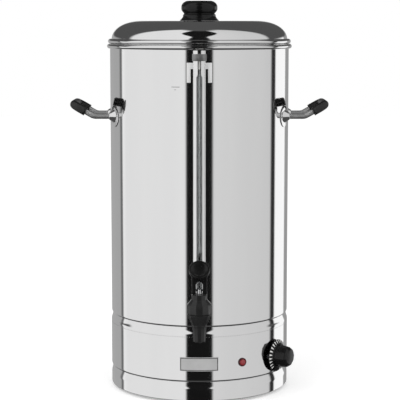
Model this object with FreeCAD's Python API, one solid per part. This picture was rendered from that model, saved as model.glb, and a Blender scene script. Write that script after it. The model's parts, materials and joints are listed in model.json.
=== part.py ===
import FreeCAD, Part
import math
import os

# Hot water urn: a single-walled steel tank on a base band and a base ring, with a gauge,
# a lever tap, two bail handles, a domed lid and a dial, all in millimetres.
# The vertical axis of the tank is X = Y = 0, the tap faces -Y, and +Z is up.
# Heights below are measured from the lower edge of the base ring, and every piece is
# raised by foot_stand when it is written, so that the feet stand on Z = 0.

os.makedirs("parts", exist_ok=True)

# Fits
slip = 0.1               # clearance between pieces that only meet
running = 0.05           # radial clearance of a shaft that turns or slides
working_gap = 0.3        # clearance between a moving piece and its neighbour
through = 60.0           # length of a tool that cuts right through a small piece

# Tank, band and ring
wall_radius = 132.0      # outside of the tank wall
wall_sheet = 1.0
band_proud = 0.5         # the band and the ring stand this much outside the tank wall
band_sheet = 0.8
rim_height = 503.6       # centre of the rolled rim
rim_bead = 3.3
rim_proud = 4.4          # the rim's outermost point, outside the tank wall
tank_foot = 110.4        # where the tank wall starts to turn in
fold_radius = 2.7        # the tuck at the foot of the wall and of the band
shoulder_rise = 12.0     # height of the flared top of the band and of the ring
flare_share = 0.72       # the hollow upper part of that flare
band_foot = 30.3
band_skirt_foot = 14.0
tank_skirt_foot = tank_foot - 24.4
tank_floor = tank_foot - 14.4
floor_corner = 3.0
ring_top = 27.1
ring_flange = 9.0        # width of the ring's inward foot flange
foot_stand = 4.0
foot_radius = 10.0
foot_circle = wall_radius - 28.0
foot_count = 4
foot_corner = 1.5
foot_screw_radius = 2.0
foot_screw_head_radius = 3.8
base_plate_sheet = 1.0
tie_count = 3            # brackets that tie the base plate to the band
tie_length = 24.0
tie_width = 16.0
tie_sheet = 1.5
tie_screw_radius = 1.75

# Lid
lid_sheet = 0.8
lid_top = rim_height + 36.8
lid_bead_low = rim_height + 3.6
lid_bead_high = rim_height + 10.8
lid_bead_radius = wall_radius + 2.9
lid_neck_radius = wall_radius - 2.1
lid_flat_radius = lid_neck_radius - 43.9
lid_crown_in, lid_crown_drop = 21.4, 3.1          # points of the dome, in from the neck
lid_shoulder_in, lid_shoulder_drop = 10.4, 8.9    # and down from the top
lid_side_in, lid_side_drop = 4.0, 16.2
lid_hem_in, lid_hem_drop = 1.0, 23.4
lid_skirt_low = rim_height - 9.6
knob_height = 29.6
knob_top_radius = 17.6
knob_widest = 26.7
knob_waist = 22.0
knob_foot_radius = 28.6
knob_bolt_radius = 3.0
knob_washer_radius = 9.0
knob_washer_sheet = 1.2
knob_bolt_head = 3.0

# Handles
handle_height = rim_height - 100.9
handle_middle = -12.0    # the bail's middle lies this far forward of the tank's axis
handle_half_span = 34.0  # the two legs lie this far each side of the bail's middle
handle_tube_radius = 4.0
handle_tube_wall = 1.2
handle_bend_x = wall_radius + 22.0
handle_slope = 30.0
handle_reach = handle_bend_x + 28.7              # centre of the crossbar, from the tank's axis
handle_bend_radius = handle_tube_radius + 10.0
handle_corner_radius = handle_tube_radius + 7.0
grip_radius = handle_tube_radius + 2.4
grip_leg = handle_corner_radius + 9.0            # the grip runs this far down each leg
pad_sheet = 1.2
boss_radius = handle_tube_radius + 4.5
boss_height = 7.0
pad_radius = boss_radius + 7.5

# Gauge
glass_radius = 5.0
glass_wall = 1.2
glass_top = rim_height - 23.6
gauge_y = -(wall_radius + glass_radius + 4.5)
guard_half_width = glass_radius + 3.65
guard_front = gauge_y - glass_radius - 3.3
guard_back = -(wall_radius + 1.5)
guard_sheet = 1.0
guard_corner = 5.5
guard_top = rim_height - 3.8
window_half_width = 4.15
window_top = rim_height - 40.6
slit_half_width = 1.25
slit_foot = window_top + 5.0
plug_radius = glass_radius + 1.8
plug_length = 12.0
clip_low = rim_height - 18.1
clip_high = clip_low + 9.6
clip_sheet = 1.3
bracket_sheet = 1.2
bracket_half_width = guard_half_width + 9.05
bracket_leg = 5.6
bracket_top = rim_height - 20.9
bracket_bar_low = bracket_top - 8.7
bracket_leg_low = bracket_top - 27.7

# Gauge block behind the tap
shank_radius = 10.0
shank_end = 16.0 - wall_radius
shank_nut_radius = shank_radius + 5.5
shank_nut_height = 7.0
washer_radius = shank_radius + 4.5
washer_sheet = 1.8
block_front = gauge_y - glass_radius - 7.5
block_back = -(wall_radius + 1.2)
block_radius = shank_radius + 3.0
socket_radius = glass_radius + 3.2
socket_wall = 1.8
glass_seat = 8.0         # depth of the pocket that the glass and its seal stand in
seal_lip = 1.2

# Tap
tap_y = block_front - 20.0
tap_axis = tank_foot + 17.6                      # height of the shank through the tank wall
socket_top = tap_axis + 28.0
tap_foot = tap_axis - 30.9
nozzle_radius = 9.55
nozzle_top_radius = 9.9
nozzle_top = tap_axis - 11.0
nozzle_bore = 6.5
chamber_floor = tap_axis - 8.5
chamber_radius = 11.0
tap_body_top = tap_axis + 8.0
tap_body_radius = chamber_radius + 6.0
tap_body_hip_radius = tap_body_radius - 3.8
tap_body_hip = tap_axis - 1.5
bonnet_foot = tap_body_top + slip
bonnet_radius = tap_body_radius + 0.6
bonnet_facets = 12
bonnet_wall = 1.6
bonnet_shoulder = tap_axis + 22.0
collar_foot = tap_axis + 28.0
collar_top = collar_foot + 8.0
collar_radius = 11.5
spigot_radius = 6.8
arm_radius = spigot_radius + 1.0
spigot_reach = 8.0
waterway_radius = 5.0
stem_radius = 3.0
seal_radius = chamber_radius - 1.6
seal_height = 5.0
spring_radius = stem_radius + 3.2
spring_wire = 0.6
spring_turns = 6
spring_foot = tap_axis + 5.0
spring_seat = tap_axis + 23.0
pin_height = collar_top + 6.0
pin_radius = 1.5
cam_start = pin_height - collar_top              # from the pin down to the bonnet with the tap shut
cam_rise = 3.82          # lift of the stem for each radian of lever travel
lever_travel = 75.0
fork_inner = stem_radius + 1.6
fork_outer = fork_inner + 6.3
neck_half_depth = 4.0
window_roof = pin_height + 12.4
neck_top = pin_height + 19.0
head_height = pin_height + 28.2
head_radius = 14.85
head_thickness = 5.0
head_dish_radius = head_radius - 3.85
head_dish_depth = 1.2
head_tilt = 45.0

# Lamp, plate and dial on the band
lamp_angle = 27.7
lamp_height = band_foot + 23.5
lamp_body_radius = 5.0
lamp_body_length = 24.0
lamp_bezel_radius = lamp_body_radius + 1.3
lamp_bezel_height = 2.2
lamp_lens_radius = lamp_body_radius - 0.3
plate_angle_left = -12.1
plate_angle_right = 11.8
plate_low = band_foot + 13.7
plate_high = plate_low + 20.0
plate_sheet = 0.6
dial_angle = 56.5
dial_height = band_foot + 23.3
dial_stand = 3.0         # the skirt's back face, outside the band
dial_skirt_radius = 23.5
dial_skirt_height = 4.5
dial_grip_radius = 15.6
dial_grip_tip_radius = 13.6
dial_grip_height = 15.5
dial_dome_height = 5.5
dial_dome_radius = 8.0
dial_facets = 10
shaft_radius = 3.0
shaft_inside = 15.0      # the shaft runs this far into the thermostat
knob_bore_depth = 14.0
thermostat_side = 34.0
thermostat_depth = 20.0
thermostat_screw_radius = 2.0
thermostat_screw_spacing = 28.0
bulb_radius = 3.0
bulb_length = 60.0
bulb_lead = 16.0         # capillary between its bend and the bulb
capillary_radius = 0.9

# Heater under the tank floor
heater_plate_radius = wall_radius - 50.0
heater_plate_sheet = 5.0
heater_loop_radius = heater_plate_radius - 22.0
heater_tube_radius = 4.2
heater_gap_angle = 30.0
heater_pin_length = 20.0
clamp_sheet = 2.0
clamp_width = 24.0
clamp_half_length = heater_plate_radius - 12.0
stud_radius = 3.0
bulb_circle = heater_plate_radius + 10.0

# Wiring gear on the base plate
terminal_x = 0.0
terminal_y = wall_radius - 70.0
terminal_length = 44.0
terminal_width = 18.0
terminal_height = 16.0
terminal_pitch = 13.0
terminal_screw_radius = 2.0
terminal_fixing_x = 17.6
terminal_fixing_radius = 1.5
cutout_x = 80.0 - wall_radius
cutout_y = -20.0
cutout_side = 26.0
cutout_height = 22.0
button_radius = 3.0
button_travel = 1.5
button_flange_radius = 4.8
button_flange_sheet = 2.0
button_pocket = 3.0      # floor of the pocket that holds the button's flange
gland_height = band_foot + 17.7
gland_bore = 4.2
gland_radius = 8.0
gland_cap_radius = 11.0
gland_cap_length = 16.0
gland_inside = 14.0


def point(x, z):
    return FreeCAD.Vector(x, 0, z)


def outline(start, *steps):
    """Closed face in the XZ plane. A step is a point, or (through, end) for an arc."""
    edges = []
    here = start
    for step in steps:
        if isinstance(step[0], tuple):
            through, end = step
            edges.append(Part.Arc(point(*here), point(*through), point(*end)).toShape())
        else:
            end = step
            edges.append(Part.LineSegment(point(*here), point(*end)).toShape())
        here = end
    if math.dist(here, start) > 1e-6:
        edges.append(Part.LineSegment(point(*here), point(*start)).toShape())
    return Part.Face(Part.Wire(edges))


def turned(face, angle=360):
    """A face in the XZ plane, turned about the Z axis."""
    return face.revolve(FreeCAD.Vector(), FreeCAD.Vector(0, 0, 1), angle)


def quarter(corner_x, corner_z, radius, start, end):
    """Middle of an arc of a circle about (corner_x, corner_z), from angle start to end in degrees."""
    middle = math.radians((start + end) / 2)
    return (corner_x + radius * math.cos(middle), corner_z + radius * math.sin(middle))


def cap(radius, base, rise):
    """Round crown from (radius, base) to the axis, rising (or sinking) by rise."""
    bend = (radius ** 2 + rise ** 2) / (2 * abs(rise))
    half = math.asin(radius / bend) / 2
    sign = 1 if rise > 0 else -1
    return ((bend * math.sin(half), base + rise - sign * bend * (1 - math.cos(half))), (0, base + rise))


def rod(radius, length, base=(0, 0, 0), along=(0, 0, 1)):
    return Part.makeCylinder(radius, length, FreeCAD.Vector(*base), FreeCAD.Vector(*along))


def tube(outer, inner, length, base=(0, 0, 0), along=(0, 0, 1)):
    return rod(outer, length, base, along).cut(rod(inner, length, base, along))


def block(low, high):
    size = [b - a for a, b in zip(low, high)]
    return Part.makeBox(*size, FreeCAD.Vector(*low))


def prism(sides, radius, height, base=(0, 0, 0)):
    """Upright prism whose flats lie at the given radius."""
    corner = radius / math.cos(math.pi / sides)
    points = []
    for index in range(sides + 1):
        turn = 2 * math.pi * (index + 0.5) / sides
        points.append(FreeCAD.Vector(corner * math.cos(turn), corner * math.sin(turn), 0))
    face = Part.Face(Part.makePolygon(points))
    face.translate(FreeCAD.Vector(*base))
    return face.extrude(FreeCAD.Vector(0, 0, height))


def radial(shape, angle, radius, height):
    """Stand a shape on the band: its Z points outwards, its Y up, at an angle right of the tap."""
    turn = math.radians(angle)
    s, c = math.sin(turn), math.cos(turn)
    matrix = FreeCAD.Matrix(
        c, 0, s, radius * s,
        s, 0, -c, -radius * c,
        0, 1, 0, height,
        0, 0, 0, 1)
    placed = shape.copy()
    placed.Placement = FreeCAD.Placement(matrix).multiply(placed.Placement)
    return placed


def bent_path(points, radii):
    """Straight runs joined by tangent arcs, one radius for each inner corner."""
    vectors = [FreeCAD.Vector(*p) for p in points]
    edges = []
    here = vectors[0]
    for index in range(1, len(vectors) - 1):
        corner = vectors[index]
        back = (vectors[index - 1] - corner).normalize()
        ahead = (vectors[index + 1] - corner).normalize()
        half = back.getAngle(ahead) / 2
        reach = radii[index - 1] / math.tan(half)
        start = corner + back * reach
        end = corner + ahead * reach
        centre = corner + (back + ahead).normalize() * (radii[index - 1] / math.sin(half))
        through = centre + (corner - centre).normalize() * radii[index - 1]
        edges.append(Part.LineSegment(here, start).toShape())
        edges.append(Part.Arc(start, through, end).toShape())
        here = end
    edges.append(Part.LineSegment(here, vectors[-1]).toShape())
    return Part.Wire(edges)


def swept(path, radius):
    first = path.OrderedEdges[0]
    start = first.valueAt(first.FirstParameter)
    ahead = first.tangentAt(first.FirstParameter)
    section = Part.Wire(Part.Circle(start, ahead, radius).toShape())
    return path.makePipeShell([section], True, True)


def group(shapes):
    return Part.makeCompound(shapes)


def around(shape, count, first=0.0):
    copies = []
    for index in range(count):
        copy = shape.copy()
        copy.rotate(FreeCAD.Vector(), FreeCAD.Vector(0, 0, 1), first + 360.0 * index / count)
        copies.append(copy)
    return copies


def save(name, shape):
    raised = shape.copy()
    raised.translate(FreeCAD.Vector(0, 0, foot_stand))
    solids = raised.Solids
    whole = solids[0] if len(solids) == 1 else Part.makeCompound(solids)
    whole.exportStep("parts/" + name + ".step")
    volume = sum(solid.Volume for solid in solids)
    print(f"{name}: {len(solids)} solid(s), {volume / 1000:.2f} cm3, valid {whole.isValid()}")


# Values worked out from the ones above
band_radius = wall_radius + band_proud
skirt_radius = wall_radius - fold_radius
band_lip_radius = skirt_radius + slip
band_skirt_radius = band_radius - fold_radius
ring_lip_radius = band_skirt_radius + slip
band_top = tank_foot - fold_radius - slip
tap_tilt_top = math.radians(lever_travel)
plate_z = band_sheet + slip
guard_foot = socket_top + slip
rim_radius = wall_radius + rim_proud - rim_bead


def shoulder(outer_radius, lip_radius, top, sheet):
    """Steps up the outside of the flared top, over its edge and down the inside."""
    inset = outer_radius - sheet - lip_radius
    turn = 2 * math.atan(inset / shoulder_rise)
    upper = flare_share * shoulder_rise / math.sin(turn)
    lower = (1 - flare_share) * shoulder_rise / math.sin(turn)
    low = top - shoulder_rise
    edge = lip_radius + sheet
    half = turn / 2
    convex = (outer_radius - lower * (1 - math.cos(half)), low + lower * math.sin(half))
    join = (outer_radius - lower * (1 - math.cos(turn)), low + lower * math.sin(turn))
    hollow = (edge + upper * (1 - math.cos(half)), top - upper * math.sin(half))
    convex_inside, join_inside, hollow_inside = [(x - sheet, z) for x, z in (convex, join, hollow)]
    return [
        (outer_radius, low), (convex, join), (hollow, (edge, top)), (lip_radius, top),
        (hollow_inside, join_inside), (convex_inside, (outer_radius - sheet, low))]


def sheet_stack(radius, sheet, skirt_radius, skirt_foot, fold_height, top_steps):
    """Wall with a skirt tucked in under a quarter-round fold; top_steps finish the outline."""
    fold_z = fold_height - fold_radius
    centre_x = skirt_radius
    inner_fold = fold_radius - sheet
    return outline(
        (skirt_radius - sheet, skirt_foot),
        (skirt_radius, skirt_foot),
        (skirt_radius, fold_z),
        (quarter(centre_x, fold_height, fold_radius, -90, 0), (radius, fold_height)),
        *top_steps,
        (radius - sheet, fold_height),
        (quarter(centre_x, fold_height, inner_fold, 0, -90), (skirt_radius, fold_z + sheet)),
        (skirt_radius - sheet, fold_z + sheet))


# Tank

def make_tank_wall():
    wall = turned(sheet_stack(
        wall_radius, wall_sheet, skirt_radius, tank_skirt_foot, tank_foot,
        [(wall_radius, rim_height), (wall_radius - wall_sheet, rim_height)]))
    bead = Part.makeTorus(rim_radius, rim_bead, FreeCAD.Vector(0, 0, rim_height))
    shank_hole = rod(shank_radius + slip, 2 * wall_radius, (0, 0, tap_axis), (0, -1, 0))
    return wall.fuse(bead).cut(shank_hole)


def make_tank_floor():
    edge = skirt_radius - wall_sheet - slip
    inner = floor_corner - wall_sheet
    low = tank_floor - wall_sheet
    return turned(outline(
        (0, low),
        (edge - floor_corner, low),
        (quarter(edge - floor_corner, tank_floor - floor_corner, inner, 90, 0),
         (edge - wall_sheet, tank_floor - floor_corner)),
        (edge - wall_sheet, tank_skirt_foot),
        (edge, tank_skirt_foot),
        (edge, tank_floor - floor_corner),
        (quarter(edge - floor_corner, tank_floor - floor_corner, floor_corner, 0, 90),
         (edge - floor_corner, tank_floor)),
        (0, tank_floor)))


save("tank_wall", make_tank_wall())
save("tank_floor", make_tank_floor())


# Base band and ring

def make_band():
    band = turned(sheet_stack(
        band_radius, band_sheet, band_skirt_radius, band_skirt_foot, band_foot,
        shoulder(band_radius, band_lip_radius, band_top, band_sheet)))
    start = wall_radius - through / 2
    holes = [
        radial(rod(lamp_body_radius + slip, through), lamp_angle, start, lamp_height),
        radial(rod(shaft_radius + 1.0, through), dial_angle, start, dial_height),
        radial(rod(gland_radius + slip, through), 180, start, gland_height)]
    for side in (-1, 1):
        screw_hole = rod(thermostat_screw_radius + slip, through, (side * thermostat_screw_spacing / 2, 0, 0))
        holes.append(radial(screw_hole, dial_angle, start, dial_height))
    return band.cut(holes)


def make_ring():
    flange_edge = band_radius - ring_flange
    return turned(outline(
        (flange_edge, 0),
        (band_radius - band_sheet, 0),
        (quarter(band_radius - band_sheet, band_sheet, band_sheet, -90, 0), (band_radius, band_sheet)),
        *shoulder(band_radius, ring_lip_radius, ring_top, band_sheet),
        (band_radius - band_sheet, band_sheet),
        (flange_edge, band_sheet)))


tie_radius = band_skirt_radius - band_sheet - slip
tie_angles = [60 + 360.0 * index / tie_count for index in range(tie_count)]
plate_top = plate_z + base_plate_sheet


def make_base_plate():
    edge = tie_radius - 1.0
    plate = rod(edge, base_plate_sheet, (0, 0, plate_z))
    holes = [rod(button_radius + 1.5, 10, (cutout_x, cutout_y, plate_z - 5))]
    foot_hole = rod(foot_screw_radius + slip, 10, (foot_circle, 0, plate_z - 5))
    holes += around(foot_hole, foot_count, 45)
    tie_hole = rod(tie_screw_radius + 0.35, 10, (tie_radius - tie_length / 2, 0, plate_z - 5))
    for angle in tie_angles:
        holes += around(tie_hole, 1, angle)
    for side in (-1, 1):
        x = terminal_x + side * terminal_fixing_x
        holes.append(rod(terminal_fixing_radius + slip, 10, (x, terminal_y, plate_z - 5)))
    return plate.cut(holes)


def make_tie():
    """Angle bracket: a foot on the base plate and a leg on the inside of the band's skirt."""
    foot = block((tie_radius - tie_length, -tie_width / 2, plate_top),
                 (tie_radius + 5, tie_width / 2, plate_top + tie_sheet))
    leg = block((tie_radius - 6, -tie_width / 2, plate_top),
                (tie_radius + 5, tie_width / 2, band_skirt_foot + 12))
    outside = rod(tie_radius, through, (0, 0, 0))
    hollow = rod(tie_radius - tie_sheet, through, (0, 0, plate_top + tie_sheet))
    tie = foot.fuse(leg.cut(hollow)).common(outside)
    return tie.cut(rod(tie_screw_radius + running, 20, (tie_radius - tie_length / 2, 0, 0)))


def make_tie_screw():
    centre = tie_radius - tie_length / 2
    head = rod(2 * tie_screw_radius, 1.8, (centre, 0, plate_z - 1.8))
    shank = rod(tie_screw_radius, 8, (centre, 0, plate_z - 1.8))
    slot = block((centre - 3, -0.5, plate_z - 2.5), (centre + 3, 0.5, plate_z - 1.1))
    return head.fuse(shank).cut(slot)


def make_foot():
    foot = turned(outline(
        (0, -foot_stand),
        (foot_radius - foot_corner, -foot_stand),
        (quarter(foot_radius - foot_corner, foot_corner - foot_stand, foot_corner, -90, 0),
         (foot_radius, foot_corner - foot_stand)),
        (foot_radius - 0.8, plate_z),
        (0, plate_z)))
    recess = rod(foot_screw_head_radius + 0.4, 2.2, (0, 0, -foot_stand))
    bore = rod(foot_screw_radius + slip, 20, (0, 0, -foot_stand))
    foot = foot.cut([recess, bore])
    foot.translate(FreeCAD.Vector(foot_circle, 0, 0))
    return foot


def make_foot_screw():
    head = rod(foot_screw_head_radius, 1.6, (foot_circle, 0, 0.6 - foot_stand))
    shank = rod(foot_screw_radius, 9.0, (foot_circle, 0, 0.6 - foot_stand))
    return head.fuse(shank)


def make_foot_nut():
    nut = prism(6, 3.5, 3.2, (foot_circle, 0, plate_top))
    return nut.cut(rod(foot_screw_radius + running, 10, (foot_circle, 0, plate_top - 2)))


save("base_band", make_band())
save("base_ring", make_ring())
save("base_plate", make_base_plate())
save("base_brackets", group([around(make_tie(), 1, a)[0] for a in tie_angles]))
save("base_bracket_screws", group([around(make_tie_screw(), 1, a)[0] for a in tie_angles]))
save("rubber_feet", group(around(make_foot(), foot_count, 45)))
save("foot_screws", group(around(make_foot_screw(), foot_count, 45)))
save("foot_nuts", group(around(make_foot_nut(), foot_count, 45)))


# Heater

heater_top = tank_floor - wall_sheet - slip
heater_low = heater_top - heater_plate_sheet
loop_z = heater_low - slip - heater_tube_radius
clamp_top = loop_z - heater_tube_radius - slip
clamp_low = clamp_top - clamp_sheet
pin_foot = loop_z - heater_pin_length


def make_heater_plate():
    plate = rod(heater_plate_radius, heater_plate_sheet, (0, 0, heater_low))
    stud = rod(stud_radius, heater_low - clamp_low + 8, (0, 0, clamp_low - 8))
    return plate.fuse(stud)


def make_heater_loop():
    half_gap = math.radians(heater_gap_angle / 2)
    circle = Part.Wire(Part.Circle(
        FreeCAD.Vector(heater_loop_radius, 0, loop_z), FreeCAD.Vector(0, 1, 0), heater_tube_radius).toShape())
    loop = turned(Part.Face(circle), 360 - heater_gap_angle)
    loop.rotate(FreeCAD.Vector(), FreeCAD.Vector(0, 0, 1), 90 + heater_gap_angle / 2)
    pieces = []
    for side in (-1, 1):
        x = side * heater_loop_radius * math.sin(half_gap)
        y = heater_loop_radius * math.cos(half_gap)
        pieces.append(Part.makeSphere(heater_tube_radius, FreeCAD.Vector(x, y, loop_z)))
        pieces.append(rod(heater_tube_radius, heater_pin_length, (x, y, pin_foot)))
        pieces.append(rod(1.5, 8, (x, y, pin_foot - 8)))
    return loop.fuse(pieces)


def make_clamp():
    low = (-clamp_half_length, -clamp_width / 2, clamp_low)
    bar = block(low, (clamp_half_length, clamp_width / 2, clamp_top))
    return bar.cut(rod(stud_radius + slip, 10, (0, 0, clamp_low - 4)))


def make_clamp_nut():
    nut = prism(6, 5.0, 5.0, (0, 0, clamp_low - 5.0))
    return nut.cut(rod(stud_radius + running, 20, (0, 0, clamp_low - 10)))


save("heater_plate", make_heater_plate())
save("heater_element", make_heater_loop())
save("heater_clamp", make_clamp())
save("heater_clamp_nut", make_clamp_nut())


# Thermostat and its dial

thermostat_front = math.sqrt((band_radius - band_sheet) ** 2 - (thermostat_side / 2) ** 2) - slip


def on_dial(shape, radius):
    return radial(shape, dial_angle, radius, dial_height)


def make_thermostat():
    half = thermostat_side / 2
    case = block((-half, -half, -thermostat_depth), (half, half, 0))
    upright = [e for e in case.Edges if abs(e.tangentAt(e.FirstParameter).z) > 0.9]
    case = case.makeFillet(4.0, upright)
    case = case.cut(rod(shaft_radius + running, shaft_inside + 1, (0, 0, -shaft_inside - 0.5)))
    for side in (-1, 1):
        x = side * thermostat_screw_spacing / 2
        case = case.cut(rod(thermostat_screw_radius + running, 8, (x, 0, -8)))
    return on_dial(case, thermostat_front)


def make_thermostat_screws():
    screws = []
    head_seat = band_radius - thermostat_front
    for side in (-1, 1):
        x = side * thermostat_screw_spacing / 2
        shank = rod(thermostat_screw_radius, head_seat + 6, (x, 0, -6))
        head = rod(thermostat_screw_radius + 1.4, 1.6, (x, 0, head_seat))
        screws.append(on_dial(shank.fuse(head), thermostat_front))
    return group(screws)


def make_sensor(angle, start_radius, start_height):
    """Capillary from a control to a bulb that lies on the underside of the tank floor."""
    turn = math.radians(angle)
    out = FreeCAD.Vector(math.sin(turn), -math.cos(turn), 0)
    side = FreeCAD.Vector(math.cos(turn), math.sin(turn), 0)
    bulb_z = heater_top - bulb_radius - slip
    start = out * start_radius + FreeCAD.Vector(0, 0, start_height)
    knee = out * bulb_circle + FreeCAD.Vector(0, 0, start_height)
    top = out * bulb_circle + FreeCAD.Vector(0, 0, bulb_z)
    end = top + side * bulb_lead
    path = bent_path([tuple(start), tuple(knee), tuple(top), tuple(end)], [8.0, 10.0])
    bulb = Part.makeCylinder(bulb_radius, bulb_length, end - side * 2, side)
    return swept(path, capillary_radius).fuse(bulb)


save("thermostat_body", make_thermostat())
save("thermostat_screws", make_thermostat_screws())
sensor_start = thermostat_front - thermostat_depth - slip
save("thermostat_sensor", make_sensor(dial_angle, sensor_start, dial_height))

dial_back = band_radius + dial_stand


def make_dial():
    skirt_top = dial_skirt_height
    tip = skirt_top + dial_grip_height
    skirt = turned(outline(
        (0, 0),
        (dial_skirt_radius, 0),
        (dial_skirt_radius, 1.2),
        (dial_grip_radius + 1.0, skirt_top),
        (0, skirt_top)))
    rings = []
    for radius, height in ((dial_grip_radius, 1.0), (dial_grip_tip_radius, tip),
                           (dial_dome_radius, tip + dial_dome_height)):
        corners = []
        for index in range(dial_facets + 1):
            turn = 2 * math.pi * index / dial_facets
            corners.append(FreeCAD.Vector(radius * math.cos(turn), radius * math.sin(turn), height))
        rings.append(Part.makePolygon(corners))
    grip = Part.makeLoft(rings[:2], True, True).fuse(Part.makeLoft(rings[1:], True, True))
    hollow = rod(dial_skirt_radius - 3.0, 1.2, (0, 0, -0.1))
    bore = rod(shaft_radius + slip, knob_bore_depth, (0, 0, 0))
    return on_dial(skirt.fuse(grip).cut([hollow, bore]), dial_back)


def make_shaft():
    length = dial_back - thermostat_front + shaft_inside + knob_bore_depth - slip
    shaft = rod(shaft_radius, length, (0, 0, -shaft_inside))
    end = length - shaft_inside
    flat = block((shaft_radius - 0.8, -5, end - 10), (shaft_radius + 2, 5, end + 1))
    return on_dial(shaft.cut(flat), thermostat_front)


save("dial_knob", make_dial())
save("thermostat_shaft", make_shaft())


# Overheat cut-out with its reset button, on the base plate

def make_cutout():
    half = cutout_side / 2
    low = plate_top
    case = block((cutout_x - half, cutout_y - half, low),
                 (cutout_x + half, cutout_y + half, low + cutout_height))
    guide = rod(button_radius + running, 10, (cutout_x, cutout_y, low - 1))
    depth = button_flange_sheet + button_travel + 2 * working_gap
    cavity = rod(button_flange_radius + 0.4, depth, (cutout_x, cutout_y, low + button_pocket))
    return case.cut([guide, cavity])


def make_reset_button():
    low = plate_z - 0.6
    flange_low = plate_top + button_pocket + running
    stem = rod(button_radius, flange_low - low + 1.0, (cutout_x, cutout_y, low))
    flange = rod(button_flange_radius, button_flange_sheet, (cutout_x, cutout_y, flange_low))
    return stem.fuse(flange)


cutout_angle = math.degrees(math.atan2(cutout_x, -cutout_y))
cutout_reach = math.hypot(cutout_x, cutout_y)
save("cutout_body", make_cutout())
save("reset_button", make_reset_button())
sensor_out = cutout_reach + cutout_side / math.sqrt(2) - 1.6
save("cutout_sensor", make_sensor(cutout_angle, sensor_out, plate_top + cutout_height / 2))


# Terminal block, earth stud and cable gland

def make_terminal_block():
    half = terminal_length / 2
    low = (terminal_x - half, terminal_y - terminal_width / 2, plate_top)
    high = (terminal_x + half, terminal_y + terminal_width / 2, plate_top + terminal_height)
    body = block(low, high)
    for index in (-1, 0, 1):
        x = terminal_x + index * terminal_pitch
        middle = plate_top + terminal_height / 2
        start = (x, terminal_y - through / 2, middle)
        wire_hole = rod(terminal_screw_radius + 0.4, through, start, (0, 1, 0))
        body = body.cut([wire_hole, rod(terminal_screw_radius + running, 12, (x, terminal_y, middle))])
    for side in (-1, 1):
        x = terminal_x + side * terminal_fixing_x
        body = body.cut(rod(terminal_fixing_radius + slip, through, (x, terminal_y, plate_top - 5)))
    return body


def make_terminal_screws():
    screws = []
    for index in (-1, 0, 1):
        x = terminal_x + index * terminal_pitch
        middle = plate_top + terminal_height / 2
        screw = rod(terminal_screw_radius, terminal_height / 2 - 3.4, (x, terminal_y, middle + 2.6))
        slot = block((x - 2.5, terminal_y - 0.4, middle + terminal_height / 2 - 1.6),
                     (x + 2.5, terminal_y + 0.4, middle + terminal_height / 2 + 1))
        screws.append(screw.cut(slot))
    return group(screws)


def make_terminal_fixings():
    screws = []
    for side in (-1, 1):
        x = terminal_x + side * terminal_fixing_x
        head = rod(terminal_fixing_radius + 1.1, 1.6, (x, terminal_y, plate_top + terminal_height))
        shank = rod(terminal_fixing_radius, terminal_height + 3, (x, terminal_y, plate_top - 3))
        screws.append(head.fuse(shank))
    return group(screws)


earth_x = terminal_x + terminal_length / 2 + 18


def make_earth_stud():
    return rod(2.0, 14, (earth_x, terminal_y, plate_top))


def make_earth_nut():
    nut = prism(6, 3.5, 3.2, (earth_x, terminal_y, plate_top + slip))
    return nut.cut(rod(2.0 + running, 10, (earth_x, terminal_y, plate_top - 1)))


def make_gland():
    inner_face = -band_sheet - gland_inside
    flange = prism(6, gland_cap_radius, 4.0, (0, 0, 0.9))
    thread = rod(gland_radius, gland_inside + band_sheet + 1.0, (0, 0, inner_face))
    nose = turned(outline(
        (0, 4.5),
        (gland_cap_radius - 0.6, 4.5),
        (gland_cap_radius - 0.6, gland_cap_length - 4),
        (quarter(gland_cap_radius - 4.6, gland_cap_length - 4, 4.0, 0, 90),
         (gland_cap_radius - 4.6, gland_cap_length)),
        (0, gland_cap_length)))
    bore = rod(gland_bore, through, (0, 0, -through / 2))
    return radial(flange.fuse([thread, nose]).cut(bore), 180, band_radius, gland_height)


def make_gland_nut():
    """Lock nut inside the band, its face cut clear of the curved sheet."""
    flats, thickness = gland_radius + 3.0, 5.0
    corner = flats / math.cos(math.pi / 6)
    sagitta = band_radius - math.sqrt(band_radius ** 2 - corner ** 2)
    nut = prism(6, flats, thickness, (0, 0, -band_sheet - sagitta - thickness - slip))
    nut = nut.cut(rod(gland_radius + running, through, (0, 0, -through / 2)))
    return radial(nut, 180, band_radius, gland_height)


save("terminal_block", make_terminal_block())
save("terminal_screws", make_terminal_screws())
save("terminal_fixing_screws", make_terminal_fixings())
save("earth_stud", make_earth_stud())
save("earth_nut", make_earth_nut())
save("cable_gland", make_gland())
save("gland_nut", make_gland_nut())


# Lamp and bare plate

def make_bezel():
    ring = turned(outline(
        (lamp_body_radius - 0.3, 0.25),
        (lamp_bezel_radius, 0.25),
        (lamp_bezel_radius, 1.0),
        (quarter(lamp_bezel_radius - 1.2, 1.0, 1.2, 0, 90), (lamp_bezel_radius - 1.2, lamp_bezel_height)),
        (lamp_lens_radius + slip, lamp_bezel_height - 0.3),
        (lamp_lens_radius + slip, 0.25)))
    return radial(ring, lamp_angle, band_radius, lamp_height)


def make_lens():
    lens = turned(outline(
        (0, 0.3),
        (lamp_lens_radius, 0.3),
        (lamp_lens_radius, 1.8),
        cap(lamp_lens_radius, 1.8, 1.6)))
    return radial(lens, lamp_angle, band_radius, lamp_height)


def make_lamp_body():
    body = rod(lamp_body_radius, lamp_body_length, (0, 0, 0.2 - lamp_body_length))
    latch = tube(lamp_body_radius + 1.2, lamp_body_radius - 1, 3.0, (0, 0, -band_sheet - 3.6))
    tabs = [latch]
    for side in (-1, 1):
        tabs.append(block((side * 2 - 0.4, -1.5, -lamp_body_length - 7),
                          (side * 2 + 0.4, 1.5, 0.5 - lamp_body_length)))
    return radial(body.fuse(tabs), lamp_angle, band_radius, lamp_height)


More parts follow.
